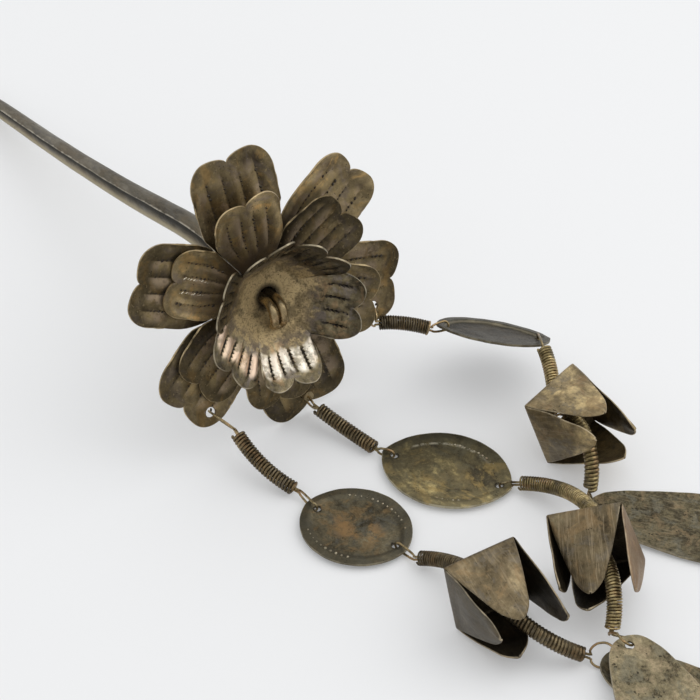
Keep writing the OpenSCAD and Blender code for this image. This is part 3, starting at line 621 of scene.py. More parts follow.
# bright metal for the painted glints on the petals
glintMetal = variant("glintMetal", "wire", balance=0.06, middle=(0.55, 0.5, 0.38), light=(0.85, 0.79, 0.64))
bellMetals = {
    1: variant("bellMetalBrown", "bell", bellExtra, offset=(0.2, 0, 0)),
    2: variant("bellMetalOlive", "bell", bellExtra, offset=(0.05, 0.2, 0), light=(0.28, 0.235, 0.14),
               scratchAcross=12.0, scratchShare=0.45),
    3: variant("bellMetalGolden", "bell", bellExtra, offset=(0.7, 0, 0), balance=0.05, gloom=0.45,
               middle=(0.19, 0.145, 0.078), light=(0.6, 0.46, 0.235)),
}
leafMetals = {
    1: variant("leafMetalDark", "leaf", scratchExtra, balance=-0.03),
    2: variant("leafMetalBlotched", "leaf", scratchExtra, offset=(0, 0.3, 0), balance=0.025,
               middle=(0.205, 0.17, 0.1), light=(0.34, 0.28, 0.17), warm=(0.32, 0.25, 0.155),
               cool=(0.18, 0.165, 0.115), soft=0.02, fine=0.45),
    3: variant("leafMetalPlain", "leaf", scratchExtra, offset=(0.4, 0, 0), balance=-0.035,
               light=(0.22, 0.18, 0.11), fine=0.55, mottle=2.0),
}
punchMetals = {
    "cup": variant("punchMetalBlack", "loop", dark=black, middle=(0.028, 0.021, 0.014),
                   light=(0.055, 0.042, 0.028), warm=(0.04, 0.026, 0.014), cool=black, metallic=0.6),
    "petals": variant("punchMetalBrown", "loop", dark=(0.025, 0.018, 0.012), middle=(0.045, 0.034, 0.022),
                      light=(0.08, 0.06, 0.04), warm=(0.06, 0.042, 0.024), cool=(0.035, 0.028, 0.02),
                      metallic=0.6),
}
print("metals made")


# Geometry Nodes trees

def newTree(name, inputs):
    geometry = ("Geometry", "Geometry")
    inputs = [(*geometry, None), *inputs, ("Metal", "Material", None)]
    tree, source, result = newGroup(name, inputs, [geometry], "GeometryNodeTree")
    tree.is_modifier = True
    return tree, source, result


def endTree(tree, source, result, geometry):
    real = addNode(tree, "GeometryNodeRealizeInstances", {0: geometry}).outputs[0]
    painted = addNode(tree, "GeometryNodeSetMaterial", {
        "Geometry": real, "Material": source.outputs["Metal"]})
    tree.links.new(painted.outputs[0], result.inputs[0])
    return tree


def runTree(piece, tree, values):
    modifier = piece.modifiers.new(tree.name, "NODES")
    modifier.node_group = tree
    for item in tree.interface.items_tree:
        if item.item_type == "SOCKET" and item.in_out == "INPUT" and item.name in values:
            modifier[item.identifier] = values[item.name]


def sweep(tree, curve, radius, sides):
    profile = addNode(tree, "GeometryNodeCurvePrimitiveCircle", {"Resolution": sides, "Radius": radius},
                      mode="RADIUS").outputs[0]
    return addNode(tree, "GeometryNodeCurveToMesh", {
        "Curve": curve, "Profile Curve": profile, "Fill Caps": True}).outputs[0]


def curveOf(tree, geometry, **settings):
    line = addNode(tree, "GeometryNodeMeshToCurve", {0: geometry}).outputs[0]
    if settings:
        line = addNode(tree, "GeometryNodeCurveSplineType", {0: line}, **settings).outputs[0]
    return line


def pushed(tree, line, offset):
    return addNode(tree, "GeometryNodeSetPosition", {"Geometry": line, "Offset": offset}).outputs[0]


def buildWindingTree():
    # wire wound round the input line, each turn a little loose
    tree, source, result = newTree("winding", [
        ("Turns", "Float", 20.0), ("Steps", "Int", 300), ("Winding Radius", "Float", 0.0013),
        ("Wire Radius", "Float", 0.00035), ("Play", "Float", 0.0001), ("Seed", "Float", 0.0)])
    values = source.outputs
    line = addNode(tree, "GeometryNodeResampleCurve", {
        "Curve": curveOf(tree, values["Geometry"]), "Count": values["Steps"]}).outputs[0]
    turned = times(tree, addNode(tree, "GeometryNodeSplineParameter").outputs["Factor"], values["Turns"])
    angle = times(tree, turned, 2 * math.pi)
    normal = addNode(tree, "GeometryNodeInputNormal").outputs[0]
    tangent = addNode(tree, "GeometryNodeInputTangent").outputs[0]
    side = vector1(tree, "CROSS_PRODUCT", tangent, normal)
    stray = addNode(tree, "ShaderNodeTexNoise", {
        "W": plus(tree, times(tree, turned, 0.45), values["Seed"]), "Scale": 1.0, "Detail": 1.0},
        noise_dimensions="1D").outputs[0]
    loose = times(tree, minus(tree, stray, 0.5), values["Play"])
    wide = plus(tree, values["Winding Radius"], times(tree, loose, 0.25))
    offset = vector1(tree, "ADD", scaled(tree, normal, times(tree, math1(tree, "COSINE", angle), wide)),
                     scaled(tree, side, times(tree, math1(tree, "SINE", angle), wide)))
    offset = vector1(tree, "ADD", offset, scaled(tree, tangent, loose))
    return endTree(tree, source, result, sweep(tree, pushed(tree, line, offset), values["Wire Radius"], 8))


def buildWireTree():
    tree, source, result = newTree("bentWire", [
        ("Points", "Int", 200), ("Wire Radius", "Float", 0.00035), ("Sides", "Int", 10)])
    values = source.outputs
    line = curveOf(tree, values["Geometry"], spline_type="CATMULL_ROM")
    line = addNode(tree, "GeometryNodeResampleCurve", {"Curve": line, "Count": values["Points"]}).outputs[0]
    return endTree(tree, source, result, sweep(tree, line, values["Wire Radius"], values["Sides"]))


def buildPunchTree():
    # rows of small marks of uneven size, which stand on the surface given by the attribute "face"
    smallest, largest = 0.35, 1.3
    tree, source, result = newTree("punchMarks", [
        ("Spacing", "Float", 0.0009), ("Mark Length", "Float", 0.0006), ("Mark Width", "Float", 0.0003),
        ("Mark Height", "Float", 0.0001), ("Slant", "Float", 0.0), ("Jitter", "Float", 0.0),
        ("Seed", "Int", 0)])
    values = source.outputs
    line = addNode(tree, "GeometryNodeResampleCurve", {
        "Curve": curveOf(tree, values["Geometry"]), "Length": values["Spacing"]}, mode="LENGTH").outputs[0]
    face = addNode(tree, "GeometryNodeInputNamedAttribute", {"Name": "face"},
                   data_type="FLOAT_VECTOR").outputs[0]
    tangent = addNode(tree, "GeometryNodeInputTangent").outputs[0]
    upright = addNode(tree, "FunctionNodeAlignRotationToVector", {"Vector": face}, axis="Z").outputs[0]
    turned = addNode(tree, "FunctionNodeAlignRotationToVector", {"Rotation": upright, "Vector": tangent},
                     axis="X", pivot_axis="Z").outputs[0]
    angle = addNode(tree, "ShaderNodeCombineXYZ", {2: values["Slant"]}).outputs[0]
    spin = addNode(tree, "FunctionNodeRotateRotation", {"Rotation": turned}, rotation_space="LOCAL")
    tree.links.new(angle, spin.inputs["Rotate By"])
    stray = addNode(tree, "FunctionNodeRandomValue", {"Seed": values["Seed"]},
                    data_type="FLOAT_VECTOR").outputs[0]
    reach = scaled(tree, vector1(tree, "SUBTRACT", stray, (0.5, 0.5, 0.5)), values["Jitter"])
    dot = addNode(tree, "GeometryNodeMeshUVSphere", {"Segments": 8, "Rings": 4, "Radius": 0.5}).outputs[0]
    chance = addNode(tree, "FunctionNodeRandomValue", {2: smallest, 3: largest, "Seed": values["Seed"]},
                     data_type="FLOAT").outputs[1]
    size = addNode(tree, "ShaderNodeCombineXYZ", {0: values["Mark Length"], 1: values["Mark Width"],
                                                  2: values["Mark Height"]}).outputs[0]
    marks = addNode(tree, "GeometryNodeInstanceOnPoints", {
        "Points": pushed(tree, line, reach), "Instance": dot, "Rotation": spin.outputs[0],
        "Scale": scaled(tree, size, chance)}).outputs[0]
    return endTree(tree, source, result, marks)


windingTree = buildWindingTree()
wireTree = buildWireTree()
punchTree = buildPunchTree()
print("node trees built")


# Flower

# full: share of a petal's length at which it is at its widest; shoulder: how far the corners of its tip
# fall back, in half widths; fluteRise, fluteEnd and fluteFall: where its flutes come up and fade
flower = dict(height=32.5, lift=15, turn=-2, layerStep=1.5, hole=2.3, notch=1.9, sheet=0.36,
              columnsPerLobe=30, hubRows=6, wobble=0.28, full=0.62, shoulder=0.62, fluteRise=0.2,
              fluteEnd=0.76, fluteFall=0.14)
# angle round the flower, lean, length, half width
outerTable = [(14.5, -4, 32.6, 10.8), (76, -1, 33.9, 9.4), (131, 3, 34.0, 8.4),
              (186, 0, 33.5, 9.8), (245, 5, 33.0, 9.3), (307, 5, 31.4, 9.6)]
secondTable = [(358, 0, 26.0, 8.0), (71, 9, 26.0, 7.8), (126, 8, 25.4, 8.0),
               (189, 12, 26.0, 8.0), (242, 3, 25.0, 7.6), (304, 4, 25.2, 8.2)]
cupTable = [(356, 28, 20.0, 7.6), (72, 30, 20.2, 7.6), (135, 41, 20.0, 7.6),
            (194, 37, 20.0, 7.6), (243, 30, 20.0, 7.4), (305, 21, 20.0, 7.6)]
# marks: spacing, length and width of the punch marks; paintedLightPerPetal: painted light and shade, how much
# brighter or darker each petal is painted; joined: how far out neighbouring petals still make one bowl;
# bright:
# petals with painted glints, bright marks beside the chisel marks that stand for highlights
flatLayer = dict(bend=1.3, fluteStart=0.2, waist=0.42, gap=0.15, joined=0, metal=petalMetal,
                 punch=punchMetals["petals"])
layers = {
    "outerPetals": dict(
        flatLayer, node="outer_petals", table=outerTable, step=0, disc=7.0, dish=0.0, curl=0.5, rows=56,
        seed=1, flute=0.2, fluteShape=1.4, paintedLightPerPetal=(0.55, 1.28, 2.2, 1.12, 1.28, 0.77),
        marks=(1.0, 0.72, 0.48), bright=()),
    "secondPetals": dict(
        flatLayer, node="second_petals", table=secondTable, step=1, disc=6.5, dish=0.85, curl=0.6, rows=44,
        seed=2, flute=0.17, fluteShape=1.3, paintedLightPerPetal=(0.6, 1.0, 0.58, 4.0, 3.8, 0.6),
        marks=(1.0, 0.68, 0.44), bright=(4,)),
    "cupPetals": dict(
        node="cup_petals", table=cupTable, step=2, disc=6.5, dish=1.2, curl=0.8, bend=1.2, rows=36, seed=3,
        flute=0.4, fluteStart=0.4, fluteShape=1.2, waist=1.0, gap=0.01, joined=0.7, metal=cupMetal,
        punch=punchMetals["cup"], paintedLightPerPetal=(1.35, 1.02, 0.75, 0.75, 0.85, 1.25),
        marks=(0.85, 0.4, 0.42), bright=()),
}
petalHoles = [(0, 28.8, -0.4), (1, 28.2, -5.9), (5, 27.2, 6.2)]  # petal, distance out, distance to the side
flowerOut, flowerAcross, _ = axesOf(flower["turn"], flower["lift"], 0)
flowerDown = flowerAcross.cross(flowerOut)
flowerCentre = Vector((0, 0, flower["height"]))


def flowerPoint(x, y, z):
    return flowerCentre + flowerDown * x + flowerAcross * y + flowerOut * z


def turnedBy(angle, out, side):
    return out * cosDeg(angle) - side * sinDeg(angle), out * sinDeg(angle) + side * cosDeg(angle)


def holeSpot(p, out, side):
    # the middle of a hole in an outer petal
    angle, lean, length, _ = outerTable[p]
    layer = layers["outerPetals"]
    part = (out - layer["disc"]) / (length * cosDeg(lean) - layer["disc"])
    return flowerPoint(*turnedBy(angle, out, side), length * sinDeg(lean) * part ** layer["bend"])


def petalRoom(table, p):
    # the angles to the middle of the gap before and after a petal
    count = len(table)
    before = (table[p][0] - table[(p + count - 1) % count][0] + 720) % 360
    after = (table[(p + 1) % count][0] - table[p][0] + 720) % 360
    return before / 2, after / 2


def lobeDrop(t, half):
    # how far the edge of the tip lies behind its two lobes
    s = (abs(t) - 0.5) / 0.5
    depth = flower["notch"] if s < 0 else half * flower["shoulder"]
    return depth * (1 - math.sqrt(max(0, 1 - s * s)))


def petalSpot(layer, p, q, t):
    # a point of a petal, and its distance to the petal's edge
    angle, lean, length, half = layer["table"][p]
    room = petalRoom(layer["table"], p)
    disc = layer["disc"]
    near = layer["table"][(p + (1 if t > 0 else len(layer["table"]) - 1)) % len(layer["table"])]
    shared = 0.5 * t * t * (1 - ease((q - 0.5 * layer["joined"]) / layer["joined"])) if layer["joined"] else 0
    reach = mix(length * cosDeg(lean), near[2] * cosDeg(near[1]), shared)
    rise = mix(length * sinDeg(lean), near[2] * sinDeg(near[1]), shared)
    end = reach - mix(lobeDrop(t, half), lobeDrop(t, near[3]), shared)
    r = disc + (end - disc) * q
    spread = half * mix(layer["waist"], 1, sinDeg(90 * clamp(q / flower["full"])))
    gap = layer["gap"] * (1 - 2 * shared)
    wide = min(spread, r * math.tan(math.radians(room[0] if t < 0 else room[1])) - gap)
    part = max((r - disc) / (reach - disc), 0)
    strength = ease((q - layer["fluteStart"]) / flower["fluteRise"])
    strength *= 1 - ease((q - flower["fluteEnd"]) / flower["fluteFall"])
    wave = abs(cosDeg(180 * flutesPerSide * t)) ** layer["fluteShape"]
    flute = layer["flute"] * (2 * wave - 1) * strength
    seed = layer["seed"] * 7.3 + p * 3.1
    wobble = flower["wobble"] * q * (1 - 2 * shared)
    sway = noise.noise(Vector((q * 1.7, t * 1.1, seed))) * wobble * 2
    y = t * wide + noise.noise(Vector((q * 1.3, seed, 4.0))) * wobble
    z = rise * part ** layer["bend"] + layer["curl"] * t * t * q + flute + sway
    z += layer["step"] * flower["layerStep"]
    edge = min((1 - abs(t)) * wide, (1 - q) * (end - disc))
    return flowerPoint(*turnedBy(angle, r, y), z), edge


def hubSpot(layer, p, r, t):
    # a point of the dished disc inside the petals
    room = petalRoom(layer["table"], p)
    angle = layer["table"][p][0] + t * (room[0] if t < 0 else room[1])
    z = layer["step"] * flower["layerStep"] - layer["dish"] * (1 - (r / layer["disc"]) ** 2)
    return flowerPoint(r * cosDeg(angle), r * sinDeg(angle), z)


def lobeColumns():
    # places across a petal, closer together at its middle and sides
    count = flower["columnsPerLobe"]
    half = [(1 - math.cos(math.pi * k / count)) / 2 for k in range(count + 1)]
    return [-t for t in reversed(half[1:])] + half


def petalLayer(name, layer):
    # each petal: rows across its part of the hub, then rows out to its tip
    columns = lobeColumns()
    grids = []
    for p in range(len(layer["table"])):
        grid = []
        for k in range(flower["hubRows"] + 1):
            share = k / flower["hubRows"]
            r = mix(flower["hole"], layer["disc"], share)
            tone = mix(1, layer["paintedLightPerPetal"][p], share)
            grid.append([(hubSpot(layer, p, r, t), (t, share - 1, 9.0 if k else 0.0), tone) for t in columns])
        for k in range(1, layer["rows"] + 1):
            q = k / layer["rows"]
            row = []
            for t in columns:
                point, edge = petalSpot(layer, p, q, t)
                row.append((point, (t, q, edge if q > 0.3 else mix(9.0, edge, q / 0.3)), layer["paintedLightPerPetal"][p]))
            grid.append(row)
        grids.append(grid)
    piece = surfacePiece(name, grids)
    thicken(piece, flower["sheet"])
    tools = []
    if name == "outerPetals":
        tools.append(drill(piece, [(holeSpot(*hole), flowerOut) for hole in petalHoles], holeRadius))
    finishPiece(piece, [layer["node"]], layer["metal"], tools=tools)


def punchLines(name, layer, petals, metal, marks, valleys, start):
    # rows of small chisel marks in the valleys between the flutes, or of bright marks beside them that stand
    # for glints
    sizes = dict(stop=0.82, points=26, lift=flower["sheet"] / 2 + 0.06 + 0.03 * layer["step"], height=0.2,
                 slant=0.6, jitter=0.3, near=0.02)
    near = sizes["near"]
    paths, faces = [], []
    for p in petals:
        for t in valleys:
            path, normals = [], []
            for k in range(sizes["points"]):
                q = mix(start, sizes["stop"], k / (sizes["points"] - 1))
                here = petalSpot(layer, p, q, t)[0]
                onward = petalSpot(layer, p, q + near, t)[0] - here
                aside = petalSpot(layer, p, q, t + near)[0] - petalSpot(layer, p, q, t - near)[0]
                normal = onward.cross(aside).normalized()
                path.append(here + normal * sizes["lift"])
                normals.append(normal)
            paths.append(path)
            faces.append(normals)
    piece = pathPiece(name, paths, faces=faces)
    spacing, length, width = marks
    runTree(piece, punchTree, {
        "Spacing": spacing * mm, "Mark Length": length * mm, "Mark Width": width * mm,
        "Mark Height": sizes["height"] * mm, "Slant": sizes["slant"], "Jitter": sizes["jitter"] * mm,
        "Seed": layer["seed"], "Metal": metal})
    finishPiece(piece, [], metal)


for name, layer in layers.items():
    petalLayer(name, layer)
    punchLines(name + "Marks", layer, range(len(layer["table"])), layer["punch"], layer["marks"],
               (-0.6, -0.2, 0.2, 0.6), layer["fluteStart"] + 0.12)
    if layer["bright"]:
        # painted highlights: rows of bright marks beside the chisel marks
        punchLines(name + "Glints", layer, layer["bright"], glintMetal, (0.7, 0.8, 0.24),
                   (-0.12, 0.28), 0.5)


def centreLoop():
    # wire folded in two: up out of the hub, over in an arch, and back beside itself
    sizes = dict(wire=2.05, half=1.14, arch=2.9, reach=3.1, foot=0.2, tipOut=0.669, tipDown=0.743)
    hub = 2 * flower["layerStep"] - layers["cupPetals"]["dish"]
    arch = [(sizes["foot"], -3.0), (sizes["foot"], -0.6), (sizes["foot"], 1.2 + hub)]
    arch += [(sizes["reach"] + sizes["arch"] * cosDeg(a), 1.6 + hub + sizes["arch"] * sinDeg(a))
             for a in (160, 135, 110, 85, 62, 42)]
    x, z = arch[-1]
    path = [flowerPoint(a, -sizes["half"], b) for a, b in arch]
    path += [flowerPoint(x + sizes["half"] * cosDeg(a) * sizes["tipOut"], sizes["half"] * sinDeg(a),
                         z - sizes["half"] * cosDeg(a) * sizes["tipDown"]) for a in (-60, -30, 0, 30, 60)]
    path += [flowerPoint(a, sizes["half"], b) for a, b in reversed(arch)]
    piece = pathPiece("centreLoop", [path])
    runTree(piece, wireTree, {
        "Points": 90, "Wire Radius": sizes["wire"] / 2 * mm, "Sides": 20, "Metal": loopMetal})
    finishPiece(piece, ["centre_loop"], loopMetal)


centreLoop()
print("flower made")


# Shaft: a rolled sheet that laps over its own edge

# along, height, diameter
shaftTable = [
    (-0.5, 32.3, 5.9), (-4.5, 31.3, 5.9), (-9.0, 31.1, 6.0), (-15.0, 32.0, 6.0), (-22.0, 32.1, 6.0),
    (-31.0, 30.5, 6.0), (-43.0, 27.1, 5.8), (-59.0, 22.4, 5.5), (-78.0, 17.4, 5.1), (-98.0, 12.6, 4.8),
    (-114.0, 9.1, 4.6), (-132.0, 5.3, 4.2), (-145.0, 2.9, 3.0), (-155.0, 1.1, 1.2)]


def shaftPiece():
    sizes = shaftSizes
    last = len(shaftTable) - 1
    grid = []
    for k in range(sizes["rows"] + 1):
        s = last * k / sizes["rows"]
        x, z, diameter = smoothRow(shaftTable, s)
        ahead, behind = smoothRow(shaftTable, min(s + 0.05, last)), smoothRow(shaftTable, max(s - 0.05, 0))
        along = Vector((behind[0] - ahead[0], 0, behind[1] - ahead[1])).normalized()
        side, up = Vector((0, 1, 0)), along.cross(Vector((0, 1, 0)))
        start = ease(1 - s / 0.6)
        side = side.lerp(flowerAcross, start).normalized()
        up = up.lerp(-flowerDown, start).normalized()
        centre = Vector((x, 0, z)).lerp(flowerPoint(0, 0, -sheetThickness / 2), start)
        wrap = clamp((s - 1) / 3)
        sheet = min(sizes["sheet"], diameter * sizes["thin"])
        step = (sheet + sizes["gap"]) * wrap  # how far the inner edge dives under the lap
        seam = sizes["seam"] + 4 * wrap * noise.noise(Vector((x * 0.11, 2.0, 0)))
        first = seam - sizes["overlap"] * wrap + (3 if s < 1.5 else 0)
        row = []
        for j in range(sizes["steps"] + 1):
            angle = mix(first, seam + 360, j / sizes["steps"])
            r = diameter / 2 - sheet / 2 - step * (1 - ease((angle - seam) / sizes["blend"]))
            r += 0.05 * noise.noise(Vector((x * 0.12, angle * 0.02, 1.0)))
            edge = math.radians(seam + 360 - angle) * r
            point = centre - side * (sinDeg(angle) * r) + up * (cosDeg(angle) * r)
            row.append((point, (angle / 180, -x / 10, max(edge, 0))))
        grid.append(row)
    piece = surfacePiece("shaft_rolled", [grid])
    thicken(piece, sizes["sheet"] * 0.92)
    finishPiece(piece, ["shaft"], shaftMetal)


shaftPiece()
print("shaft made")


# Chains

# end: how close the rows come to the points of the oval, in degrees; pack: how much closer together
# the columns are at the edge
plateSizes = dict(hole=0.8, rim=2.3, dish=0.8, rows=40, columns=30, inset=2.8, end=85, trim=0.995,
                  pack=1.25, dent=0.1)
# depth of the step inside the rim, height of the bruised ridge on the far side, brightness at both ends
plateForms = {1: (0.12, 0.0, 0.95, 1.05), 2: (0.12, 0.28, 0.5, 1.75), 3: (0.5, 0.0, 1.0, 1.0)}
# rows of dots on each plate: side, from and to along the half length, distance in from the edge, size
beadRows = {
    1: [(-1, -0.72, 0.35, 2.0, 0.66), (1, -0.62, 0.86, 2.3, 0.66)],
    2: [(1, -0.2, 0.8, 3.0, 0.6), (-1, 0.1, 0.86, 2.6, 0.6)],
}
# x, y, z, heading, pitch, roll, length, width
plates = {
    1: (44.2, -4.9, 1.45, 23, 0, 0, 25.4, 22.4),
    2: (40.3, 21.0, 1.45, 34, 0, 0, 30, 23),
    3: (19.3, 48.0, 13.5, 62, -13, -25, 26.5, 22.2),
}
# tip, round: width of a petal's end and how far back its corners are rounded; a face whose normal points
# by more than facing towards the axis at lookFrom of the length is inside
bellSizes = dict(side=16, length=18, hole=1.3, tip=4.2, taper=1.25, fold=0.15, bulge=0.6, round=3.4,
                 sheet=0.4, columns=16, topRows=5, petalRows=24, dent=0.35, lookFrom=0.3, facing=0.12)
# x, y, z, heading, pitch, roll
bells = {1: (78.0, 3.7, 9.1, -8, 10, 7), 2: (81.3, 29.2, 10.9, -43, 2, 22), 3: (45.3, 47.1, 9.1, 9, 20, 10)}
# outward and sideways directions of a bell's four petals
bellSides = [(Vector((0, 0, 1)), Vector((0, 1, 0))), (Vector((0, -1, 0)), Vector((0, 0, 1))),
             (Vector((0, 0, -1)), Vector((0, -1, 0))), (Vector((0, 1, 0)), Vector((0, 0, -1)))]
# each petal's lean inwards and swing of its tip
bellPetals = {
    1: [(19, -0.1), (8, 0.5), (8, 2.6), (-3, 1.5)],
    2: [(32, -0.1), (11, 3.1), (14, 1.2), (-5, 0.0)],
    3: [(7, -1.7), (6, 2.4), (5, 1.1), (12, 3.3)],
}
# brightness of each petal of the bells
bellTones = {1: (1.05, 0.66, 1.0, 1.0), 2: (1.0, 0.9, 1.0, 1.2), 3: (1.15, 0.97, 1.0, 1.0)}
leafSizes = dict(length=56, inset=2.3, hole=0.95, dish=0.6, rows=90, columns=30, dent=0.22)
leaves = {1: (104.4, 16.7, 2.2, 20, -1.9, 0), 2: (104.6, 20.2, 5.0, -13, -4.9, 0),
          3: (67.4, 41.3, 1.5, 42, -1, 0)}
# distance from the rounded end, half width
leafTable = [(0.0, 0.6), (0.6, 2.4), (1.8, 3.9), (4.0, 5.3), (7.5, 6.6), (12.0, 7.9), (18.0, 9.2),
             (25.0, 10.1), (32.0, 10.0), (39.0, 8.6), (46.0, 6.0), (52.0, 3.0), (55.0, 1.2), (56.0, 0.4)]
# start, end, bow of the middle, pitch of the turns, diameter of the wire
coils = {
    "1a": (Vector((11.7, -14.4, 8.0)), Vector((28.2, -9.9, 2.0)), Vector((0.2, -1.0, -0.5)), 0.80, 0.70),
    "1b": (Vector((59.6, 0.6, 2.0)), placed(bells[1], -0.95), Vector((-0.4, 1.5, 0.3)), 0.62, 0.44),
    "1c": (placed(bells[1], 2.8), Vector((100.1, 12.7, 2.4)), Vector((1.5, -3.2, 1.7)), 0.80, 0.90),
    "2a": (Vector((10.9, 6.6, 4.6)), Vector((26.6, 11.6, 2.0)), Vector((0, 0.1, -0.4)), 0.84, 0.70),
    "2b": (Vector((52.9, 31.3, 2.2)), placed(bells[2], -1.9), Vector((1.4, 4.4, 1.0)), 0.62, 0.44),
    "2c": (placed(bells[2], 2.9), Vector((99.2, 20.0, 4.8)), Vector((0.5, 1.1, 3.7)), 0.62, 0.56),
    "3a": (Vector((7.3, 25.1, 18.1)), Vector((13.2, 34.7, 16.3)), Vector((-0.3, 0.1, 0.4)), 0.56, 0.52),
    "3b": (placed(plates[3], 9.3, -9.1), placed(bells[3], -1.6), Vector((0, 0.6, 0.7)), 0.66, 0.60),
    "3c": (placed(bells[3], 3), Vector((62.6, 42.7, 2.1)), Vector((0.3, 0.9, 4.6)), 0.86, 0.92),
}
coilSizes = dict(outer=3.3, steps=13, play=0.07, points=40)  # steps: points on one turn of the wire
coilShades = {"1b": "deep", "1c": "deep", "2a": "deep", "3a": "deep",  # the others are dark
              "2b": "brassy", "2c": "brassy", "3b": "brassy", "3c": "brassy"}


def coilArc(row):
    # a coil bends as an arc: its centre, radius, two axes in its plane, and angle
    start, end, bowVector = row[:3]
    bow, chord = bowVector.length, (end - start).length
    along = (end - start).normalized()
    up = (bowVector - along * bowVector.dot(along)).normalized()
    radius = (chord * chord / 4 + bow * bow) / (2 * bow)
    centre = (start + end) / 2 - up * (radius - bow)
    x = (start - centre).normalized()
    return centre, radius, x, (along - x * along.dot(x)).normalized(), 2 * math.asin(chord / 2 / radius)


def coilPoint(row, share):
    centre, radius, x, y, turn = coilArc(row)
    return centre + (x * math.cos(turn * share) + y * math.sin(turn * share)) * radius


def coilPiece(name):
    sizes, row = coilSizes, coils[name]
    pitch, wire = row[3:]
    metal = coilMetals[coilShades.get(name, "dark")]
    _, radius, _, _, turn = coilArc(row)
    margin = wire / 2 / (radius * turn)
    turns = radius * turn / pitch
    points = sizes["points"]
    path = [coilPoint(row, mix(margin, 1 - margin, k / points)) for k in range(points + 1)]
    piece = pathPiece("coil_" + name + "_wound", [path])
    runTree(piece, windingTree, {
        "Turns": turns, "Steps": int(turns * sizes["steps"]), "Wire Radius": wire / 2 * mm,
        "Winding Radius": (sizes["outer"] - wire) / 2 * mm, "Play": sizes["play"] * mm,
        "Seed": float(sum(map(ord, name))), "Metal": metal})
    finishPiece(piece, ["coil_" + name], metal)


def endRing(name, share):
    # a brighter last turn at the end of a coil
    sizes = dict(radius=1.45, wire=0.5, points=24)
    _, _, x, y, turn = coilArc(coils[name])
    centre = coilPoint(coils[name], share)
    along = y * math.cos(turn * share) - x * math.sin(turn * share)
    side = along.orthogonal().normalized()
    up = along.cross(side)
    angles = [360 * k / sizes["points"] for k in range(sizes["points"])]
    ring = [centre + (side * cosDeg(angle) + up * sinDeg(angle)) * sizes["radius"] for angle in angles]
    piece = pathPiece("coil_" + name + "_ring", [ring], closed=True)
    runTree(piece, wireTree, {
        "Points": 60, "Wire Radius": sizes["wire"] / 2 * mm, "Sides": 10, "Metal": loopMetal})
    finishPiece(piece, [], loopMetal)


for name in coils:
    coilPiece(name)
endRing("3a", 0.975)
print("coils wound")


# strandHalf: half the distance between a link's two strands in a coil; lead: how far, as a share of the
# coil, they stay together past its ends
linkSizes = dict(strandHalf=0.37, lead=0.05)


def eyeStations(eye):
    # an eye: its tip, the way out of it, the direction it is spread in, half its width, its depth
    tip, out, spread, half, depth = eye
    return [(tip + out * depth * (1 - cosDeg(a)), spread, half * sinDeg(a)) for a in (0, 20, 40, 60, 76, 90)]


def neckStations(eye, target):
    # the strands close up between an eye and the coil
    tip, out, spread, half, depth = eye
    start = tip + out * depth
    closed = linkSizes["strandHalf"]
    return [(start.lerp(target, s), spread, closed + (half - closed) * math.sqrt(1 - s * s))
            for s in (0.25, 0.5, 0.72, 0.88, 0.97)]


def coilStations(row, first, second, low, high):
    lead = linkSizes["lead"]
    return [(coilPoint(row, k), first.lerp(second, mix(low, high, k)).normalized(), linkSizes["strandHalf"])
            for k in (-lead, 0.14, 0.32, 0.5, 0.68, 0.86, 1 + lead)]


def linkPiece(name, stations):
    # stations: middle of the two strands, the direction they are spread in, half their distance
    count = len(stations)
    near, far = [], []
    for i, (point, wish, half) in enumerate(stations):
        along = (stations[min(i + 1, count - 1)][0] - stations[max(i - 1, 0)][0]).normalized()
        spread = (wish - along * wish.dot(along)).normalized()
        near.append(point + spread * half)
        if 0 < i < count - 1:
            far.append(point - spread * half)
    piece = pathPiece(name + "_wire", [near + far[::-1]], closed=True)
    runTree(piece, wireTree, {
        "Points": 260, "Wire Radius": linkWire / 2 * mm, "Sides": 10, "Metal": linkMetal})
    finishPiece(piece, [name], linkMetal)


def linkStations(first, rows, second, hole=None):
    # from eye to eye through one coil, or through two with a bell's hole between them
    lead = linkSizes["lead"]
    back = neckStations(second, coilPoint(rows[-1], 1 + lead))[::-1] + eyeStations(second)[::-1]
    stations = eyeStations(first) + neckStations(first, coilPoint(rows[0], -lead))
    if hole is None:
        return stations + coilStations(rows[0], first[2], second[2], 0, 1) + back
    stations += coilStations(rows[0], first[2], second[2], 0, 0.5)
    stations.append((hole, (first[2] + second[2]).normalized(), linkSizes["strandHalf"]))
    return stations + coilStations(rows[1], first[2], second[2], 0.5, 1) + back


def petalEye(hole, rim, half, depth=1.2):
    spread = flowerDown * cosDeg(rim) + flowerAcross * sinDeg(rim)
    middle = holeSpot(*petalHoles[hole]) + spread * half
    return middle - flowerOut * depth, flowerOut, spread, half, depth


def endEye(place, x, side, half, tilt):
    along, across, up = axesOf(*place[3:6])
    return placed(place, x), along * side, up * cosDeg(tilt) + across * sinDeg(tilt), half, half


def plateEye(number, side):
    return endEye(plates[number], side * (plates[number][6] / 2 - plateSizes["inset"]), side, 1.05, 0)


def sideEye(place, x, half, tilt):
    along, across, up = axesOf(*place[3:6])
    return placed(place, x), -across, up * cosDeg(tilt) - along * sinDeg(tilt), half, half


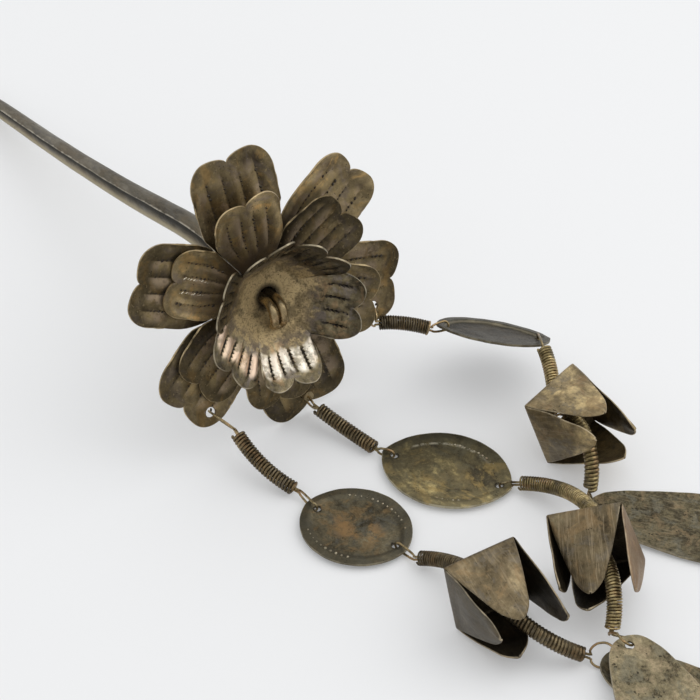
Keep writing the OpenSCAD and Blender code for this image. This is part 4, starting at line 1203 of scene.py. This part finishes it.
# eyes of each chain: in the petal, on the far side of the plate, in the leaf; the last two numbers of an
# eye are its half width and its tilt, in the petals the other way round
chainEyes = {
    1: (petalEye(2, 37, 2.2), plateEye(1, 1), endEye(leaves[1], 0, -1, 2.5, 50)),
    2: (petalEye(0, 14.5, 1.75), plateEye(2, 1), endEye(leaves[2], 0, -1, 2.4, -50)),
    3: (petalEye(1, -14, 2.1), sideEye(plates[3], plates[3][6] / 2 - plateSizes["inset"], 1.3, 25),
        endEye(leaves[3], 0, -1, 1.0, 0)),
}
for number, (inPetal, _, _) in chainEyes.items():
    rows = [coils["%da" % number]]
    linkPiece("link_%da" % number, linkStations(inPetal, rows, plateEye(number, -1)))
for number, (_, inPlate, inLeaf) in chainEyes.items():
    rows = [coils["%db" % number], coils["%dc" % number]]
    linkPiece("link_%db" % number, linkStations(inPlate, rows, inLeaf, placed(bells[number], 0)))
print("links bent")


def plateOutline(place, x):
    # half width: two arcs that meet in points
    half, width = place[6] / 2, place[7]
    arc = (half * half + width * width / 4) / width
    return math.sqrt(max(arc * arc - x * x, 0)) - arc + width / 2


def plateHeight(number, x, edge, t):
    # a dished middle, stepped down inside the rim, and the ridge on one side
    sizes = plateSizes
    step, ridge = plateForms[number][:2]
    along = 2 * x / plates[number][6]
    inside = ease((edge - sizes["rim"] + 0.35) / 0.7)
    hollow = (sizes["dish"] - step) * (1 - along * along) * (1 - t * t)
    bruise = 0.5 + noise.noise(Vector((x * 0.9, t * 3.0, 8.0)))
    swell = math.exp(-((edge - 3.4) / 0.6) ** 2) * ease((0.6 - abs(along + 0.1)) / 0.2) if t > 0 else 0
    return ridge * swell * bruise - inside * (step + hollow)


def platePiece(number):
    sizes, place = plateSizes, plates[number]
    half = place[6] / 2
    up = axesOf(*place[3:6])[2]
    grid = []
    for k in range(sizes["rows"] + 1):
        angle = mix(-sizes["end"], sizes["end"], k / sizes["rows"])
        x = sinDeg(angle) * half / sinDeg(sizes["end"]) * sizes["trim"]
        w = plateOutline(place, x)
        slope = math.hypot(1, (plateOutline(place, x + 0.05) - plateOutline(place, x - 0.05)) / 0.1)
        row = []
        for j in range(sizes["columns"] + 1):
            t = 2 * j / sizes["columns"] - 1
            t = math.copysign(1 - (1 - abs(t)) ** sizes["pack"], t)
            edge = (1 - abs(t)) * w / slope
            dent = sizes["dent"] * noise.noise(Vector((x * 0.3, t * w * 0.3, number * 5.0)))
            tone = mix(*plateForms[number][2:], clamp(0.5 + x / place[6] - 0.4 * t))
            point = placed(place, x, t * w, plateHeight(number, x, edge, t) + dent)
            row.append((point, (t * w / 12, x / 14, edge), tone))
        grid.append(row)
    piece = surfacePiece("plate_%d_dished" % number, [grid])
    thicken(piece)
    ends = [(placed(place, side * (half - sizes["inset"])), up) for side in (-1, 1)]
    tool = drill(piece, ends, sizes["hole"])
    finishPiece(piece, ["plate_%d" % number], plateMetals[number], tools=[tool])


def plateBeads(number):
    # raised dots along parts of the rim
    sizes = dict(points=60, height=0.46, over=0.02)
    place = plates[number]
    up, dot = axesOf(*place[3:6])[2], beadRows[number][0][4]
    paths = []
    for side, start, stop, inset, _ in beadRows[number]:
        path = []
        for k in range(sizes["points"]):
            x = mix(start, stop, k / (sizes["points"] - 1)) * (place[6] / 2 - inset)
            y = side * max(plateOutline(place, x) - inset, 0)
            drop = plateHeight(number, x, inset, y / plateOutline(place, x))
            path.append(placed(place, x, y, drop + sheetThickness / 2 + sizes["over"]))
        paths.append(path)
    piece = pathPiece("plate_%d_beads" % number, paths, faces=[[up] * len(path) for path in paths])
    runTree(piece, punchTree, {
        "Spacing": dot * 1.9 * mm, "Mark Length": dot * mm, "Mark Width": dot * 0.85 * mm,
        "Mark Height": sizes["height"] * mm, "Seed": number, "Metal": beadMetal})
    finishPiece(piece, [], beadMetal)


for number in plates:
    platePiece(number)
    if number in beadRows:
        plateBeads(number)
print("plates made")


def bellSpot(number, p, q, u):
    # q runs from the fold to the tip, u across
    sizes = bellSizes
    lean, swing = bellPetals[number][p]
    out, along = bellSides[p]
    left = clamp((1 - q) * sizes["length"] / sizes["round"])
    rounding = max(math.sqrt(1 - (1 - left) ** 2), 0.06)
    half = mix(sizes["side"] / 2 - sizes["fold"], sizes["tip"] / 2, q ** sizes["taper"]) * rounding
    dent = sizes["dent"] * noise.noise(Vector((q * 3.0, u * 1.6, number * 7.0 + p * 2.3))) * ease(q * 4)
    bulge = sizes["bulge"] * (1 - u * u) * sinDeg(150 * q)
    height = sizes["side"] / 2 - sizes["length"] * q * sinDeg(lean) + bulge + dent
    local = out * height + Vector((sizes["length"] * q * cosDeg(lean), 0, 0)) + along * (swing * q - u * half)
    edge = min((1 - abs(u)) * half, (1 - q) * sizes["length"])
    return placed(bells[number], *local), (u * half / 8, q, edge if q > 0.05 else 9.0), bellTones[number][p]


def bellPiece(number):
    sizes, place = bellSizes, bells[number]
    grids = []
    places = [2 * j / sizes["columns"] - 1 for j in range(sizes["columns"] + 1)]
    for p, (out, along) in enumerate(bellSides):
        grid = []
        for k in range(sizes["topRows"] + 1):
            share = k / sizes["topRows"]
            row = []
            for u in places:
                ring = (out * cosDeg(45 * u) - along * sinDeg(45 * u)) * sizes["hole"]
                square = (out - along * u) * sizes["side"] / 2
                row.append((placed(place, *ring.lerp(square, share)), (u, share - 1, 9.0)))
            grid.append(row)
        for k in range(1, sizes["petalRows"] + 1):
            q = sinDeg(90 * k / sizes["petalRows"])
            grid.append([bellSpot(number, p, q, u) for u in places])
        grids.append(grid)
    piece = surfacePiece("bell_%d_folded" % number, grids)
    thicken(piece, sizes["sheet"])
    soften = piece.modifiers.new("soften", "SUBSURF")
    soften.levels = soften.render_levels = 1
    finishPiece(piece, ["bell_%d" % number], bellMetals[number], crease=60)
    # faces that look in towards the axis are marked inside, for the painted shade of the bell's metal
    middle = toFrame(placed(place, sizes["length"] * sizes["lookFrom"]))
    inner = [1.0 if face.normal.dot((face.center - middle).normalized()) < -sizes["facing"] else 0.0
             for face in piece.data.polygons]
    piece.data.attributes.new("inside", "FLOAT", "FACE").data.foreach_set("value", inner)


for number in bells:
    bellPiece(number)
print("bells folded")


def leafPiece(number):
    sizes, place = leafSizes, leaves[number]
    last = len(leafTable) - 1
    grid = []
    for k in range(sizes["rows"] + 1):
        share = k / sizes["rows"]
        distance, half = smoothRow(leafTable, last * (0.5 - 0.5 * math.cos(math.pi * share)))
        half = max(half, 0.3)
        row = []
        for j in range(sizes["columns"] + 1):
            t = 2 * j / sizes["columns"] - 1
            spot = Vector((distance * 0.16, t * half * 0.2, number * 9.0))
            dent = sizes["dent"] * (noise.noise(spot) + 0.5 * noise.noise(spot * 2.7))
            height = -sizes["dish"] * (1 - t * t) * half / 10 + dent
            point = placed(place, distance - sizes["inset"], t * half, height)
            edge = min((1 - abs(t)) * half, distance + 0.2, sizes["length"] + 0.2 - distance)
            row.append((point, (t * half / 10, distance / sizes["length"], edge)))
        grid.append(row)
    piece = surfacePiece("leaf_%d_hammered" % number, [grid])
    thicken(piece)
    tool = drill(piece, [(placed(place, 0), axesOf(*place[3:6])[2])], sizes["hole"])
    finishPiece(piece, ["leaf_%d" % number], leafMetals[number], tools=[tool])


for number in leaves:
    leafPiece(number)
print("leaves made")


# Floor, light and camera

def paleFloor():
    # a pale table that glows a little, so that shadows stay light
    sizes = dict(side=3.0, color=(0.605, 0.607, 0.61), glow=0.2, glowColor=(0.985, 0.993, 1.0), rough=0.7,
                 shine=0.2)
    bpy.ops.mesh.primitive_plane_add(size=sizes["side"], location=(0, 0, 0))
    floor = bpy.context.object
    floor.name = "paleFloor"
    cloth = bpy.data.materials.new("paleFloor")
    cloth.use_nodes = True
    shader = cloth.node_tree.nodes["Principled BSDF"]
    shader.inputs["Base Color"].default_value = rgb(*sizes["color"])
    shader.inputs["Roughness"].default_value = sizes["rough"]
    shader.inputs["Specular IOR Level"].default_value = sizes["shine"]
    shader.inputs["Emission Color"].default_value = rgb(*sizes["glowColor"])
    shader.inputs["Emission Strength"].default_value = sizes["glow"]
    floor.data.materials.append(cloth)


def softLight():
    sizes = dict(heading=62, elevation=46, distance=1.0, size=1.2, power=2.9, target=Vector((0, 0, 0.01)))
    data = bpy.data.lights.new("mainLight", "AREA")
    data.shape = "DISK"
    data.size = sizes["size"]
    data.energy = sizes["power"]
    light = bpy.data.objects.new("mainLight", data)
    bpy.context.scene.collection.objects.link(light)
    away = axesOf(sizes["heading"], sizes["elevation"], 0)[0]
    light.location = sizes["target"] + away * sizes["distance"]
    light.rotation_euler = away.to_track_quat("Z", "Y").to_euler()


def paleSky():
    # brighter overhead than at the horizon
    sizes = dict(color=(0.985, 0.992, 1.0), horizon=0.56, overhead=1.2)
    world = bpy.data.worlds.new("studioWorld")
    world.use_nodes = True
    tree = world.node_tree
    background = tree.nodes["Background"]
    background.inputs["Color"].default_value = rgb(*sizes["color"])
    direction = addNode(tree, "ShaderNodeTexCoord").outputs["Generated"]
    height = addNode(tree, "ShaderNodeSeparateXYZ", {0: direction}).outputs[2]
    glow = addNode(tree, "ShaderNodeMapRange", {0: height, 3: sizes["horizon"], 4: sizes["overhead"]})
    tree.links.new(glow.outputs[0], background.inputs["Strength"])
    bpy.context.scene.world = world
    bpy.context.scene.view_settings.view_transform = "Standard"


def photoCamera():
    # where the flower's middle stands in the frame of 700 pixels, and the size of a pixel there
    view = dict(azimuth=57, elevation=40, distance=500.0, anchor=Vector((0, 0, 32.3)),
                anchorPixel=(263, 294), pixel=0.215, frame=700, sensor=36.0)
    az, el = view["azimuth"], view["elevation"]
    right = Vector((cosDeg(az), sinDeg(az), 0))
    forward = Vector((-sinDeg(az) * cosDeg(el), cosDeg(az) * cosDeg(el), -sinDeg(el)))
    up = right.cross(forward)
    middle = view["frame"] / 2
    aside, down = (pixel - middle for pixel in view["anchorPixel"])
    offset = (right * aside - up * down) * view["pixel"]
    data = bpy.data.cameras.new("photoCamera")
    data.sensor_width = view["sensor"]
    data.lens = view["distance"] / view["pixel"] / view["frame"] * view["sensor"]
    data.clip_start = 0.01
    camera = bpy.data.objects.new("photoCamera", data)
    bpy.context.scene.collection.objects.link(camera)
    turn = Matrix((right, up, -forward)).transposed().to_4x4()
    spot = toFrame(view["anchor"] - offset - forward * view["distance"])
    camera.matrix_world = Matrix.Translation(spot) @ turn
    bpy.context.scene.camera = camera


paleFloor()
softLight()
paleSky()
photoCamera()
print("studio set")
